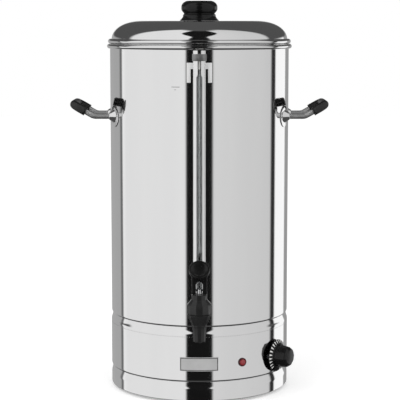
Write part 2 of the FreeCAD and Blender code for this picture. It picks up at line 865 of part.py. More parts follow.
def make_plate():
    back = band_radius + slip
    ring = tube(back + plate_sheet, back, plate_high - plate_low, (0, 0, plate_low))
    reach = 2 * wall_radius
    left = math.radians(plate_angle_left)
    right = math.radians(plate_angle_right)
    wedge = Part.Face(Part.makePolygon([
        FreeCAD.Vector(0, 0, plate_low),
        FreeCAD.Vector(reach * math.sin(left), -reach * math.cos(left), plate_low),
        FreeCAD.Vector(reach * math.sin(right), -reach * math.cos(right), plate_low),
        FreeCAD.Vector(0, 0, plate_low)])).extrude(FreeCAD.Vector(0, 0, plate_high - plate_low))
    plate = ring.common(wedge)
    thin = [e for e in plate.Edges if e.Length < 2 * plate_sheet]
    return plate.makeFillet(1.5, thin)


save("lamp_bezel", make_bezel())
save("lamp_lens", make_lens())
save("lamp_body", make_lamp_body())
save("name_plate", make_plate())


# Handles

handle_rise = (handle_reach - handle_bend_x) * math.tan(math.radians(handle_slope))
handle_top = handle_height + handle_rise


def handle_points(side):
    inner = wall_radius - 26.4
    front, back = handle_middle - handle_half_span, handle_middle + handle_half_span
    return [
        (side * inner, front, handle_height),
        (side * handle_bend_x, front, handle_height),
        (side * handle_reach, front, handle_top),
        (side * handle_reach, back, handle_top),
        (side * handle_bend_x, back, handle_height),
        (side * inner, back, handle_height)]


def tank_core(radius):
    return rod(radius, 2 * through, (0, 0, handle_height - through))


def make_handle(side):
    bends = [handle_bend_radius, handle_corner_radius, handle_corner_radius, handle_bend_radius]
    path = bent_path(handle_points(side), bends)
    outer = swept(path, handle_tube_radius)
    inner = swept(path, handle_tube_radius - handle_tube_wall)
    return outer.cut(inner).cut(tank_core(wall_radius + slip))


def make_grip(side):
    slope = math.radians(handle_slope)
    start_x = handle_reach - grip_leg * math.cos(slope)
    start_z = handle_top - grip_leg * math.sin(slope)
    front, back = handle_middle - handle_half_span, handle_middle + handle_half_span
    points = [
        (side * start_x, front, start_z),
        (side * handle_reach, front, handle_top),
        (side * handle_reach, back, handle_top),
        (side * start_x, back, start_z)]
    path = bent_path(points, [handle_corner_radius, handle_corner_radius])
    tight = bent_path(handle_points(side), [handle_bend_radius, handle_corner_radius,
                                            handle_corner_radius, handle_bend_radius])
    return swept(path, grip_radius).cut(swept(tight, handle_tube_radius + slip))


def make_pad(side, leg):
    """Welded foot of one leg: a plate bent to the tank wall and a cone round the tube."""
    y = handle_middle + leg * handle_half_span
    along = (side, 0, 0)
    start = (0, y, handle_height)
    plate = rod(pad_radius, 2 * wall_radius, start, along)
    plate = plate.common(tank_core(wall_radius + slip + pad_sheet))
    wall_x = math.sqrt(wall_radius ** 2 - y ** 2)
    cone = Part.makeCone(
        boss_radius + 3, handle_tube_radius + 1.6, boss_height + 6,
        FreeCAD.Vector(side * (wall_x - 5), y, handle_height), FreeCAD.Vector(*along))
    bore = rod(handle_tube_radius + slip, 2 * wall_radius, start, along)
    return plate.fuse(cone).cut([tank_core(wall_radius + slip), bore])


for name, side in (("left", -1), ("right", 1)):
    save(name + "_handle_tube", make_handle(side))
    save(name + "_handle_grip", make_grip(side))
    save(name + "_handle_pads", group([make_pad(side, leg) for leg in (-1, 1)]))


# Gauge

def channel(half_width, front, corner, low, high, back=guard_back):
    box = block((-half_width, front, low), (half_width, back, high))
    edges = []
    for edge in box.Edges:
        middle = edge.valueAt((edge.FirstParameter + edge.LastParameter) / 2)
        upright = abs(edge.tangentAt(edge.FirstParameter).z) > 0.9
        if upright and abs(middle.y - front) < 1e-6:
            edges.append(edge)
    return box.makeFillet(corner, edges)


def make_guard():
    outer = channel(guard_half_width, guard_front, guard_corner, guard_foot, guard_top)
    inner = channel(guard_half_width - guard_sheet, guard_front + guard_sheet, guard_corner - guard_sheet,
                    guard_foot - 1, guard_top + 1, guard_back - guard_sheet)
    deep = guard_front - 1
    window = block((-window_half_width, deep, guard_foot - 1), (window_half_width, gauge_y, window_top))
    slit = block((-slit_half_width, deep, window_top - 1), (slit_half_width, gauge_y, guard_top + 1))
    wedge = Part.Face(Part.makePolygon([
        FreeCAD.Vector(-window_half_width, deep, window_top - 0.01),
        FreeCAD.Vector(window_half_width, deep, window_top - 0.01),
        FreeCAD.Vector(slit_half_width, deep, slit_foot),
        FreeCAD.Vector(-slit_half_width, deep, slit_foot),
        FreeCAD.Vector(-window_half_width, deep, window_top - 0.01)]))
    wedge = wedge.extrude(FreeCAD.Vector(0, gauge_y - deep, 0))
    return outer.cut([inner, window, slit, wedge])


def make_clip():
    half = guard_half_width + slip + clip_sheet
    outer = channel(half, guard_front - slip - clip_sheet, guard_corner + clip_sheet, clip_low, clip_high)
    inner = channel(guard_half_width + slip, guard_front - slip, guard_corner,
                    clip_low - 1, clip_high + 1, guard_back + 1)
    return outer.cut(inner)


def make_bracket():
    ring = tube(wall_radius + slip + bracket_sheet, wall_radius + slip, bracket_top - bracket_leg_low,
                (0, 0, bracket_leg_low))
    inner = bracket_half_width - bracket_leg
    outside, inside = -wall_radius - 10, -wall_radius + through / 2
    bar = block((-bracket_half_width, outside, bracket_bar_low), (bracket_half_width, inside, bracket_top))
    legs = []
    for side in (-1, 1):
        low_x, high_x = sorted((side * inner, side * bracket_half_width))
        legs.append(block((low_x, outside, bracket_leg_low), (high_x, inside, bracket_bar_low + 1)))
    return ring.common(bar.fuse(legs))


def make_glass():
    foot = socket_top - glass_seat
    return tube(glass_radius, glass_radius - glass_wall, glass_top - foot, (0, gauge_y, foot))


def make_plug():
    """Vented silicone cap that centres the top of the glass in the guard."""
    half = plug_length / 2
    plug = rod(plug_radius, plug_length, (0, gauge_y, glass_top - half))
    socket = rod(glass_radius + slip, half, (0, gauge_y, glass_top - half))
    return plug.cut([socket, rod(1.0, through, (0, gauge_y, glass_top - half))])


def make_glass_seal():
    outer = socket_radius - socket_wall
    depth = glass_seat - 0.5
    seal = tube(outer, glass_radius + slip, depth, (0, gauge_y, socket_top - depth))
    collar = tube(outer, glass_radius + slip, seal_lip, (0, gauge_y, socket_top))
    return seal.fuse(collar)


def make_gauge_block():
    """Shank through the tank wall, a cross block and an upright socket for the glass."""
    shank = rod(shank_radius, abs(block_front - shank_end), (0, shank_end, tap_axis), (0, -1, 0))
    flange = rod(block_radius, block_back - block_front, (0, block_back, tap_axis), (0, -1, 0))
    socket = rod(socket_radius, socket_top - tap_axis, (0, gauge_y, tap_axis))
    body = shank.fuse([flange, socket])
    waterway = rod(waterway_radius, through, (0, shank_end + 5, tap_axis), (0, -1, 0))
    riser = rod(glass_radius - glass_wall, through, (0, gauge_y, tap_axis))
    seat = rod(socket_radius - socket_wall + slip, 20, (0, gauge_y, socket_top - glass_seat))
    joint_end = block_front + spigot_reach + slip
    joint = rod(spigot_radius + slip, 30, (0, joint_end, tap_axis), (0, -1, 0))
    return body.cut([waterway, riser, seat, joint])


def make_shank_nut():
    nut = prism(6, shank_nut_radius, shank_nut_height, (0, 0, 0))
    nut = nut.cut(rod(shank_radius + running, 20, (0, 0, -5)))
    nut.rotate(FreeCAD.Vector(), FreeCAD.Vector(1, 0, 0), 90)
    nut.translate(FreeCAD.Vector(0, shank_nut_y + shank_nut_height, tap_axis))
    return nut


washer_back = math.sqrt((wall_radius - wall_sheet) ** 2 - washer_radius ** 2) - washer_sheet
shank_nut_y = -washer_back + slip


def make_washers():
    """Silicone washers, moulded to the curve of the tank wall on one face."""
    inside = through / 2 - wall_radius
    hole = rod(shank_radius + slip, 2 * through, (0, inside, tap_axis), (0, -1, 0))
    outer = rod(washer_radius, inside - block_back - slip, (0, inside, tap_axis), (0, -1, 0))
    outer = outer.cut([tank_core_low(wall_radius + slip), hole])
    inner = rod(washer_radius, 30, (0, -washer_back, tap_axis), (0, -1, 0))
    inner = inner.common(tank_core_low(wall_radius - wall_sheet - slip)).cut(hole)
    return group([outer, inner])


def tank_core_low(radius):
    return rod(radius, 2 * through, (0, 0, tap_axis - through))


save("gauge_guard", make_guard())
save("gauge_glass", make_glass())
save("gauge_clip", make_clip())
save("gauge_bracket", make_bracket())
save("gauge_top_plug", make_plug())
save("gauge_glass_seal", make_glass_seal())
save("gauge_block", make_gauge_block())
save("shank_nut", make_shank_nut())
save("shank_washers", make_washers())


# Tap

stem_foot = chamber_floor + slip
stem_head = pin_height + stem_radius


def at_tap(shape):
    placed = shape.copy()
    placed.translate(FreeCAD.Vector(0, tap_y, 0))
    return placed


def make_tap_body():
    outside = turned(outline(
        (0, tap_foot),
        (nozzle_radius - 1.0, tap_foot),
        (quarter(nozzle_radius - 1.0, tap_foot + 1.0, 1.0, -90, 0), (nozzle_radius, tap_foot + 1.0)),
        (nozzle_top_radius, nozzle_top),
        ((tap_body_hip_radius, tap_body_hip), (tap_body_radius, tap_body_top - 1.0)),
        (tap_body_radius, tap_body_top),
        (0, tap_body_top)))
    arm = rod(arm_radius, block_front - tap_y, (0, 0, tap_axis), (0, 1, 0))
    spigot = rod(spigot_radius, spigot_reach + block_front - tap_y, (0, 0, tap_axis), (0, 1, 0))
    chamber = rod(chamber_radius, through, (0, 0, chamber_floor))
    outlet = rod(nozzle_bore, through, (0, 0, tap_foot - 20))
    waterway = rod(waterway_radius, through, (0, 0, tap_axis), (0, 1, 0))
    return at_tap(outside.fuse([arm, spigot]).cut([chamber, outlet, waterway]))


def make_bonnet():
    outside = turned(outline(
        (0, bonnet_foot),
        (bonnet_radius - 0.8, bonnet_foot),
        (bonnet_radius + 0.4, bonnet_foot + 6),
        (bonnet_radius, bonnet_shoulder),
        (collar_radius, collar_foot),
        (collar_radius, collar_top),
        (0, collar_top)))
    lower = prism(bonnet_facets, bonnet_radius, collar_foot - bonnet_foot, (0, 0, bonnet_foot))
    upper = rod(collar_radius, collar_top - collar_foot, (0, 0, collar_foot))
    outside = outside.common(lower.fuse(upper))
    skirt = tube(chamber_radius - slip, chamber_radius - bonnet_wall, 5.1, (0, 0, bonnet_foot - 5))
    cavity = rod(chamber_radius - bonnet_wall, spring_seat - bonnet_foot, (0, 0, bonnet_foot))
    guide = rod(stem_radius + running, 40, (0, 0, bonnet_foot))
    return at_tap(outside.cut([cavity, guide]).fuse(skirt))


def make_stem():
    stem = rod(stem_radius, stem_head - stem_foot - 2, (0, 0, stem_foot + 2))
    disc = rod(spring_radius + 1.0, 1.5, (0, 0, spring_foot - 1.6))
    hole = rod(pin_radius + slip, 20, (-10, 0, pin_height), (1, 0, 0))
    tip = rod(stem_radius, 2 * stem_radius, (-stem_radius, 0, pin_height), (1, 0, 0))
    shaft = stem.cut(block((-9, -9, pin_height), (9, 9, stem_head + 9))).fuse(tip.common(stem))
    return at_tap(shaft.fuse(disc).cut(hole))


def make_seal():
    """Silicone cup on the foot of the stem that shuts the outlet."""
    cup = turned(outline(
        (0, stem_foot),
        (seal_radius - 1.2, stem_foot),
        (seal_radius, stem_foot + 1.2),
        (seal_radius - 2.5, stem_foot + seal_height),
        (0, stem_foot + seal_height)))
    return at_tap(cup.cut(rod(stem_radius + slip, 20, (0, 0, stem_foot + 2 - slip))))


def make_spring():
    """Closing spring round the stem, from the stem's disc to the roof of the bonnet."""
    height = spring_seat - spring_foot - 2 * spring_wire - 2 * slip
    path = Part.Wire(Part.makeLongHelix(height / spring_turns, height, spring_radius))
    start = path.Edges[0].valueAt(path.Edges[0].FirstParameter)
    ahead = path.Edges[0].tangentAt(path.Edges[0].FirstParameter)
    section = Part.Wire(Part.Circle(start, ahead, spring_wire).toShape())
    coil = path.makePipeShell([section], True, True)
    coil.translate(FreeCAD.Vector(0, 0, spring_foot + spring_wire + slip))
    return at_tap(coil)


def make_cam(width_low, width_high):
    """Heel of the lever, whose reach from the pin grows steadily with the lever's turn."""
    reach = cam_start - working_gap
    points = []
    for index in range(6):
        turn = tap_tilt_top * index / 5
        support = reach + cam_rise * turn
        normal = -math.pi / 2 - turn
        y = support * math.cos(normal) + cam_rise * math.sin(normal)
        z = support * math.sin(normal) - cam_rise * math.cos(normal)
        points.append(FreeCAD.Vector(0, y, z))
    curve = Part.BSplineCurve()
    curve.interpolate(points)
    end = points[-1]
    first = points[0]
    top = 10.0
    corners = [
        end,
        FreeCAD.Vector(0, end.y, top),
        FreeCAD.Vector(0, neck_half_depth, top),
        FreeCAD.Vector(0, neck_half_depth, first.z + 1.2),
        FreeCAD.Vector(0, neck_half_depth - 1.2, first.z),
        first]
    edges = [curve.toShape()]
    for a, b in zip(corners, corners[1:]):
        edges.append(Part.LineSegment(a, b).toShape())
    face = Part.Face(Part.Wire(Part.__sortEdges__(edges)))
    face.translate(FreeCAD.Vector(width_low, 0, pin_height))
    return face.extrude(FreeCAD.Vector(width_high - width_low, 0, 0))


def make_lever():
    cheeks = []
    for side in (-1, 1):
        low, high = sorted((side * fork_inner, side * fork_outer))
        cheeks.append(make_cam(low, high))
        cheeks.append(block((low, -neck_half_depth, pin_height + 1), (high, neck_half_depth, neck_top)))
    bridge = block((-fork_outer, -neck_half_depth, window_roof),
                   (fork_outer, neck_half_depth, neck_top + 6))
    half = head_thickness / 2
    head = turned(outline(
        (0, -half),
        (head_radius - 2, -half),
        (quarter(head_radius - 2, 2 - half, 2.0, -90, 0), (head_radius, 2 - half)),
        (head_radius, half - 1.6),
        (quarter(head_radius - 1.6, half - 1.6, 1.6, 0, 90), (head_radius - 1.6, half)),
        (head_dish_radius, half),
        cap(head_dish_radius, half, -head_dish_depth)))
    head.rotate(FreeCAD.Vector(), FreeCAD.Vector(1, 0, 0), head_tilt)
    head.translate(FreeCAD.Vector(0, 0, head_height))
    lever = cheeks[0].fuse(cheeks[1:] + [bridge, head])
    pin_hole = rod(pin_radius + running, 40, (-20, 0, pin_height), (1, 0, 0))
    return at_tap(lever.cut(pin_hole))


def make_pin():
    reach = fork_outer - working_gap
    return at_tap(rod(pin_radius, 2 * reach, (-reach, 0, pin_height), (1, 0, 0)))


save("tap_body", make_tap_body())
save("tap_bonnet", make_bonnet())
save("tap_stem", make_stem())
save("tap_seal", make_seal())
save("tap_spring", make_spring())
save("tap_lever", make_lever())
save("tap_lever_pin", make_pin())


# Lid

lid_foot = rim_height + rim_bead + working_gap
bead_middle = (lid_bead_low + lid_bead_high) / 2
bead_bulge = (lid_bead_high - lid_bead_low) / 2


def make_lid():
    """Domed sheet whose edge is rolled out into a bead that sits on the tank's rim."""
    bead_centre = lid_bead_radius - bead_bulge
    s = lid_sheet
    crown = (lid_neck_radius - lid_crown_in, lid_top - lid_crown_drop)
    turn = (lid_neck_radius - lid_shoulder_in, lid_top - lid_shoulder_drop)
    side = (lid_neck_radius - lid_side_in, lid_top - lid_side_drop)
    hem = (lid_neck_radius - lid_hem_in, lid_top - lid_hem_drop)
    lean = 0.7 * s
    return turned(outline(
        (0, lid_top),
        (lid_flat_radius, lid_top),
        (crown, turn),
        (side, hem),
        (lid_neck_radius, lid_bead_high),
        (bead_centre, lid_bead_high),
        (quarter(bead_centre, bead_middle, bead_bulge, 90, -90), (bead_centre, lid_bead_low)),
        (lid_neck_radius - s, lid_bead_low),
        (lid_neck_radius - s, lid_bead_high - s),
        (hem[0] - s, hem[1] - s),
        ((side[0] - s, side[1] - s / 2), (turn[0] - lean, turn[1] - lean)),
        ((crown[0] - s / 4, crown[1] - s), (lid_flat_radius, lid_top - s)),
        (0, lid_top - s)))


def make_lid_skirt():
    """Locating ring inside the lid that drops into the tank."""
    outer = wall_radius - wall_sheet - 2.0
    inner = lid_neck_radius - lid_sheet - slip
    top = lid_bead_high - lid_sheet - 1.2
    return turned(outline(
        (outer - lid_sheet, lid_skirt_low),
        (outer, lid_skirt_low),
        (inner, lid_bead_low - 4),
        (inner, top),
        (inner - lid_sheet, top),
        (inner - lid_sheet, lid_bead_low - 4)))


def make_knob():
    top = lid_top + knob_height
    base = lid_top + slip
    knob = turned(outline(
        (0, base),
        (knob_foot_radius, base),
        (knob_foot_radius, base + 0.6),
        ((knob_waist + 2.2, base + 4.6), (knob_waist, base + 8.4)),
        ((knob_waist + 2.0, base + 12.0), (knob_widest - 0.9, base + 16.0)),
        ((knob_widest, base + 19.6), (knob_widest - 1.2, base + 23.2)),
        ((knob_widest - 4.2, top - 2.2), (knob_top_radius, top)),
        (0, top)))
    return knob.cut(rod(knob_bolt_radius + slip, 20, (0, 0, base - 1)))


def make_knob_bolt():
    low = lid_top - lid_sheet - knob_washer_sheet - slip - knob_bolt_head
    head = prism(6, 5.0, knob_bolt_head, (0, 0, low))
    return head.fuse(rod(knob_bolt_radius, 19, (0, 0, low)))


def make_knob_washer():
    low = lid_top - lid_sheet - knob_washer_sheet
    return tube(knob_washer_radius, knob_bolt_radius + slip, knob_washer_sheet, (0, 0, low))


lid = make_lid().cut(rod(knob_bolt_radius + 0.4, 10, (0, 0, lid_top - 5)))
save("lid_dome", lid)
save("lid_skirt", make_lid_skirt())
save("lid_knob", make_knob())
save("lid_knob_bolt", make_knob_bolt())
save("lid_knob_washer", make_knob_washer())
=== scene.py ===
# %% [markdown]
# # A hot water urn in polished steel
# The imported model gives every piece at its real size. This lesson builds the shiny shells, the
# black mouldings and the small trim again as smooth meshes, each on the body that carries it,
# and gives every piece its finish. Sizes are in millimetres until a mesh is made.

# %% Load the frame
import bpy
import json
import math
from mathutils import Matrix, Vector


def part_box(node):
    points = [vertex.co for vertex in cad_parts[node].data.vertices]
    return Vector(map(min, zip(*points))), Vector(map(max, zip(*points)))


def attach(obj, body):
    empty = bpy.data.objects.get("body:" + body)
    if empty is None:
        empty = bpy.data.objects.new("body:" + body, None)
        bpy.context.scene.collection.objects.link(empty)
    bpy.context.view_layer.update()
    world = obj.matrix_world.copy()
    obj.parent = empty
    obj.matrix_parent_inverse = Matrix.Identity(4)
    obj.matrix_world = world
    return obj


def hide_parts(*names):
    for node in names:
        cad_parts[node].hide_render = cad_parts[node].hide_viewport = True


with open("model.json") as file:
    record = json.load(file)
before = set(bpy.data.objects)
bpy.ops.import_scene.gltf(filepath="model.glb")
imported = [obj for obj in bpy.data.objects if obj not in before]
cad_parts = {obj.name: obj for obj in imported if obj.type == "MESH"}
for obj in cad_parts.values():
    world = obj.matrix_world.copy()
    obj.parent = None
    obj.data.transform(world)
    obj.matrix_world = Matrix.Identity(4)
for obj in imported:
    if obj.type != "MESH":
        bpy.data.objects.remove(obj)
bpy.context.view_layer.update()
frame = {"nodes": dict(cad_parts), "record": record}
nodes = frame["nodes"]
MM = 0.001
foot_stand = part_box("base_ring")[0].z / MM     # the ring stands this far above the table
tank_radius = 132.0
band_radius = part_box("base_band")[1].x / MM
print("the ring stands", round(foot_stand, 2), "mm up; the band's radius is", round(band_radius, 2))


# %% [markdown]
# ## The camera
# The photograph was taken from the front, a little above the urn's middle, with a long lens.
# Where it stood was worked out from how flat the rims look at each height.

# %% Camera
camera_distance = 2090.9
camera_height = 540.7 + foot_stand
camera_pitch = 7.276
camera_aside = 0.9
lens = bpy.data.cameras.new("camera")
lens.lens = 126.4
lens.sensor_width = 36.0
camera = bpy.data.objects.new("camera", lens)
bpy.context.scene.collection.objects.link(camera)
camera.location = Vector((camera_aside, -camera_distance, camera_height)) * MM
camera.rotation_euler = (math.radians(90 - camera_pitch), 0, 0)
bpy.context.scene.camera = camera
bpy.context.scene.view_settings.view_transform = "Standard"


# %% [markdown]
# ## What the steel sees
# A polished cylinder has no colour of its own: it shows the studio, squeezed into upright
# stripes. So the world is painted by direction: a narrow dark gap where the camera stands, a
# wide white screen on each side of it, dark edges, a grey room behind, and a dark ceiling, rear
# wall and table. Only gloss sees it. The camera and clear things see plain white, and matt
# surfaces get an even soft light.

# %% World helpers
scene_world = bpy.data.worlds.new("studio")
bpy.context.scene.world = scene_world
scene_world.use_nodes = True
world_tree = scene_world.node_tree
world_tree.nodes.clear()


def calculate(tree, operation, first, second=None, third=None):
    """A Math node; each input is a number or a socket. Returns the output socket."""
    node = tree.nodes.new("ShaderNodeMath")
    node.operation = operation
    for slot_index, value in enumerate((first, second, third)):
        if value is None:
            continue
        if isinstance(value, (int, float)):
            node.inputs[slot_index].default_value = value
        else:
            tree.links.new(value, node.inputs[slot_index])
    return node.outputs[0]


def smooth_step(tree, value, low, high):
    """0 below low, 1 above high, and a smooth rise between; low and high may be sockets."""
    node = tree.nodes.new("ShaderNodeMapRange")
    node.interpolation_type = "SMOOTHSTEP"
    for name, amount in (("Value", value), ("From Min", low), ("From Max", high)):
        if isinstance(amount, (int, float)):
            node.inputs[name].default_value = amount
        else:
            tree.links.new(amount, node.inputs[name])
    return node.outputs["Result"]


def blend_values(tree, share, low, high):
    """low where share is 0, high where it is 1."""
    node = tree.nodes.new("ShaderNodeMix")
    node.data_type = "FLOAT"
    for name, amount in ((0, share), (2, low), (3, high)):
        if isinstance(amount, (int, float)):
            node.inputs[name].default_value = amount
        else:
            tree.links.new(amount, node.inputs[name])
    return node.outputs[0]


# %% The studio by direction
direction = world_tree.nodes.new("ShaderNodeTexCoord").outputs["Generated"]
split = world_tree.nodes.new("ShaderNodeSeparateXYZ")
world_tree.links.new(direction, split.inputs[0])
away_y = calculate(world_tree, "MULTIPLY", split.outputs[1], -1.0)
azimuth = calculate(world_tree, "ARCTAN2", split.outputs[0], away_y)
azimuth = calculate(world_tree, "MULTIPLY", azimuth, 180 / math.pi)
elevation = calculate(world_tree, "ARCSINE", split.outputs[2])
elevation = calculate(world_tree, "MULTIPLY", elevation, 180 / math.pi)
aside = calculate(world_tree, "ABSOLUTE", azimuth)

screens = world_tree.nodes.new("ShaderNodeValToRGB")
screens.color_ramp.interpolation = "LINEAR"
around = calculate(world_tree, "MULTIPLY_ADD", azimuth, 1 / 360, 0.5)
world_tree.links.new(around, screens.inputs[0])
# Azimuth from the camera's side, in degrees (left is negative), and how bright it is there.
left_room, left_edge, left_glow, left_screen, left_inner = 0.41, 0.15, 0.93, 0.83, 0.84
right_inner, right_screen, right_edge, side_window, right_room = 0.72, 0.64, 0.03, 1.06, 0.33
screen_stops = [
    (-180, left_room), (-125, left_room), (-122, left_edge), (-118.5, left_edge),
    (-116.5, left_glow), (-108, left_screen), (-16, left_inner), (16, right_inner),
    (103, right_screen), (106.5, right_edge), (113, right_edge),
    (115.5, side_window), (143.5, side_window), (146, right_room), (180, right_room)]
ramp = screens.color_ramp
ramp.elements[0].position = 0.0
ramp.elements[1].position = 1.0
for stop in screen_stops[1:-1]:
    ramp.elements.new(stop[0] / 360 + 0.5)
for element, (place, level) in zip(ramp.elements, screen_stops):
    element.color = (level, level, level, 1)

# The dark gap's half width in degrees: it narrows above the horizon and opens again overhead.
# Each smooth_step here runs between two angles in degrees.
gap_half, gap_soft, gap_level = 15.2, 3.6, 0.008
gap_squeeze, gap_opening = -7.0, 26.0
gap_narrow = smooth_step(world_tree, elevation, 5.0, 30.0)
gap_edge = calculate(world_tree, "MULTIPLY_ADD", gap_narrow, gap_squeeze, gap_half)
gap_overhead = smooth_step(world_tree, elevation, 26.0, 66.0)
gap_edge = calculate(world_tree, "MULTIPLY_ADD", gap_overhead, gap_opening, gap_edge)
gap_end = calculate(world_tree, "ADD", gap_edge, gap_soft)
beside_gap = smooth_step(world_tree, aside, gap_edge, gap_end)
level = blend_values(world_tree, beside_gap, gap_level, screens.outputs[0])

ceiling_level = 0.082
ceiling = smooth_step(world_tree, elevation, 76.0, 84.0)
level = blend_values(world_tree, ceiling, level, ceiling_level)
behind = smooth_step(world_tree, aside, 97.0, 107.0)
above_table = smooth_step(world_tree, elevation, 4.0, 9.0)
rear_wall = calculate(world_tree, "MULTIPLY", behind, above_table)
level = blend_values(world_tree, rear_wall, level, ceiling_level)
floor_level = 0.07
down = smooth_step(world_tree, elevation, -18.0, -30.0)
level = blend_values(world_tree, down, level, floor_level)

# %% Which ray sees what
soft_level = 0.78
background = world_tree.nodes.new("ShaderNodeBackground")
world_out = world_tree.nodes.new("ShaderNodeOutputWorld")
ray = world_tree.nodes.new("ShaderNodeLightPath")
seen = blend_values(world_tree, ray.outputs["Is Glossy Ray"], soft_level, level)
seen = blend_values(world_tree, ray.outputs["Is Transmission Ray"], seen, 1.0)
seen = blend_values(world_tree, ray.outputs["Is Camera Ray"], seen, 1.0)
world_tree.links.new(seen, background.inputs["Color"])
world_tree.links.new(background.outputs[0], world_out.inputs["Surface"])


# %% [markdown]
# ## Floor and lamps
# The floor is a wide pale disc. Gloss looks through it to the studio, because the real urn
# stood on something that showed nothing pale in the steel. A glow that only the camera sees
# makes it white. Two large soft lamps shape the black mouldings.

# %% Floor
floor_radius = 6.0
floor_glow = 0.36


def clear_selection():
    """Back to object mode with nothing selected, so that an operator acts on one piece only."""
    if bpy.context.object and bpy.context.object.mode != "OBJECT":
        bpy.ops.object.mode_set(mode="OBJECT")
    bpy.ops.object.select_all(action="DESELECT")


clear_selection()
bpy.ops.mesh.primitive_circle_add(vertices=96, radius=floor_radius, fill_type="NGON")
floor = bpy.context.object
floor.name = "floor"
floor_paint = bpy.data.materials.new("floor_paint")
floor_paint.use_nodes = True
floor_tree = floor_paint.node_tree
floor_tree.nodes.clear()
floor_diffuse = floor_tree.nodes.new("ShaderNodeBsdfDiffuse")
floor_diffuse.inputs["Color"].default_value = (0.86, 0.86, 0.86, 1)
floor_white = floor_tree.nodes.new("ShaderNodeEmission")
floor_sum = floor_tree.nodes.new("ShaderNodeAddShader")
floor_clear = floor_tree.nodes.new("ShaderNodeBsdfTransparent")
floor_mix = floor_tree.nodes.new("ShaderNodeMixShader")
floor_ray = floor_tree.nodes.new("ShaderNodeLightPath")
floor_out = floor_tree.nodes.new("ShaderNodeOutputMaterial")
floor_camera = calculate(floor_tree, "MULTIPLY", floor_ray.outputs["Is Camera Ray"], floor_glow)
floor_tree.links.new(floor_camera, floor_white.inputs["Strength"])
floor_tree.links.new(floor_diffuse.outputs[0], floor_sum.inputs[0])
floor_tree.links.new(floor_white.outputs[0], floor_sum.inputs[1])
floor_tree.links.new(floor_ray.outputs["Is Glossy Ray"], floor_mix.inputs[0])
floor_tree.links.new(floor_sum.outputs[0], floor_mix.inputs[1])
floor_tree.links.new(floor_clear.outputs[0], floor_mix.inputs[2])
floor_tree.links.new(floor_mix.outputs[0], floor_out.inputs["Surface"])
floor.data.materials.append(floor_paint)


# %% Lamps
def soft_lamp(name, place, aim, size, power):
    """A square area lamp that faces a point; places are in metres."""
    data = bpy.data.lights.new(name, "AREA")
    data.size = size
    data.energy = power
    lamp = bpy.data.objects.new(name, data)
    bpy.context.scene.collection.objects.link(lamp)
    lamp.location = place
    lamp.rotation_euler = (Vector(aim) - Vector(place)).to_track_quat("-Z", "Y").to_euler()
    lamp.visible_camera = False
    lamp.visible_glossy = False


soft_lamp("key_lamp", (-1.3, -1.6, 1.7), (0, 0, 0.3), 1.4, 16)
soft_lamp("fill_lamp", (1.6, -1.2, 1.2), (0, 0, 0.3), 1.6, 8)


# %% [markdown]
# ## Finishes
# Every finish is a small network on Object coordinates, so that it stays on its piece when the
# piece moves. Steel gets a faint drawn grain and smudges in its roughness; plastic gets a very
# fine moulded bump and a little variation in its gloss.

# %% Finish helpers
def new_finish(name):
    finish = bpy.data.materials.new(name)
    finish.use_nodes = True
    tree = finish.node_tree
    return finish, tree, tree.nodes["Principled BSDF"]


def place_noise(tree, stretch, scale, detail=3.0):
    """Noise on Object coordinates, stretched by a Mapping node. Returns its Fac socket."""
    where = tree.nodes.new("ShaderNodeTexCoord").outputs["Object"]
    mapping = tree.nodes.new("ShaderNodeMapping")
    mapping.inputs["Scale"].default_value = stretch
    noise = tree.nodes.new("ShaderNodeTexNoise")
    noise.inputs["Scale"].default_value = scale
    noise.inputs["Detail"].default_value = detail
    tree.links.new(where, mapping.inputs["Vector"])
    tree.links.new(mapping.outputs[0], noise.inputs["Vector"])
    return noise.outputs["Fac"]


def spread(tree, value, low, high):
    """Maps noise, which lies about 0.3 to 0.7, to the range from low to high."""
    node = tree.nodes.new("ShaderNodeMapRange")
    node.inputs["From Min"].default_value = 0.3
    node.inputs["From Max"].default_value = 0.7
    node.inputs["To Min"].default_value = low
    node.inputs["To Max"].default_value = high
    tree.links.new(value, node.inputs["Value"])
    return node.outputs["Result"]


def two_tone(tree, share, first, second):
    node = tree.nodes.new("ShaderNodeMix")
    node.data_type = "RGBA"
    node.inputs[6].default_value = (*first, 1)
    node.inputs[7].default_value = (*second, 1)
    tree.links.new(share, node.inputs[0])
    return node.outputs[2]


def add_bump(tree, shader, height, strength, distance):
    bump = tree.nodes.new("ShaderNodeBump")
    bump.inputs["Strength"].default_value = strength
    bump.inputs["Distance"].default_value = distance
    tree.links.new(height, bump.inputs["Height"])
    tree.links.new(bump.outputs[0], shader.inputs["Normal"])


def metal(name, dark, light, smooth, rough, stretch=(1, 1, 1), scale=40.0, bump=0.0):
    finish, tree, shader = new_finish(name)
    shader.inputs["Metallic"].default_value = 1.0
    grain = place_noise(tree, stretch, scale)
    tree.links.new(two_tone(tree, spread(tree, grain, 0.0, 1.0), dark, light), shader.inputs["Base Color"])
    tree.links.new(spread(tree, grain, smooth, rough), shader.inputs["Roughness"])
    if bump:
        add_bump(tree, shader, grain, bump, 0.0002)
    return finish


def moulding(name, dark, light, smooth, rough, scale=900.0, bump=0.06, shine=0.5):
    finish, tree, shader = new_finish(name)
    shader.inputs["Specular IOR Level"].default_value = shine
    cloud = place_noise(tree, (1, 1, 1), 35.0)
    fine = place_noise(tree, (1, 1, 1), scale, 2.0)
    tree.links.new(two_tone(tree, spread(tree, cloud, 0.0, 1.0), dark, light), shader.inputs["Base Color"])
    tree.links.new(spread(tree, cloud, smooth, rough), shader.inputs["Roughness"])
    add_bump(tree, shader, fine, bump, 0.0001)
    return finish


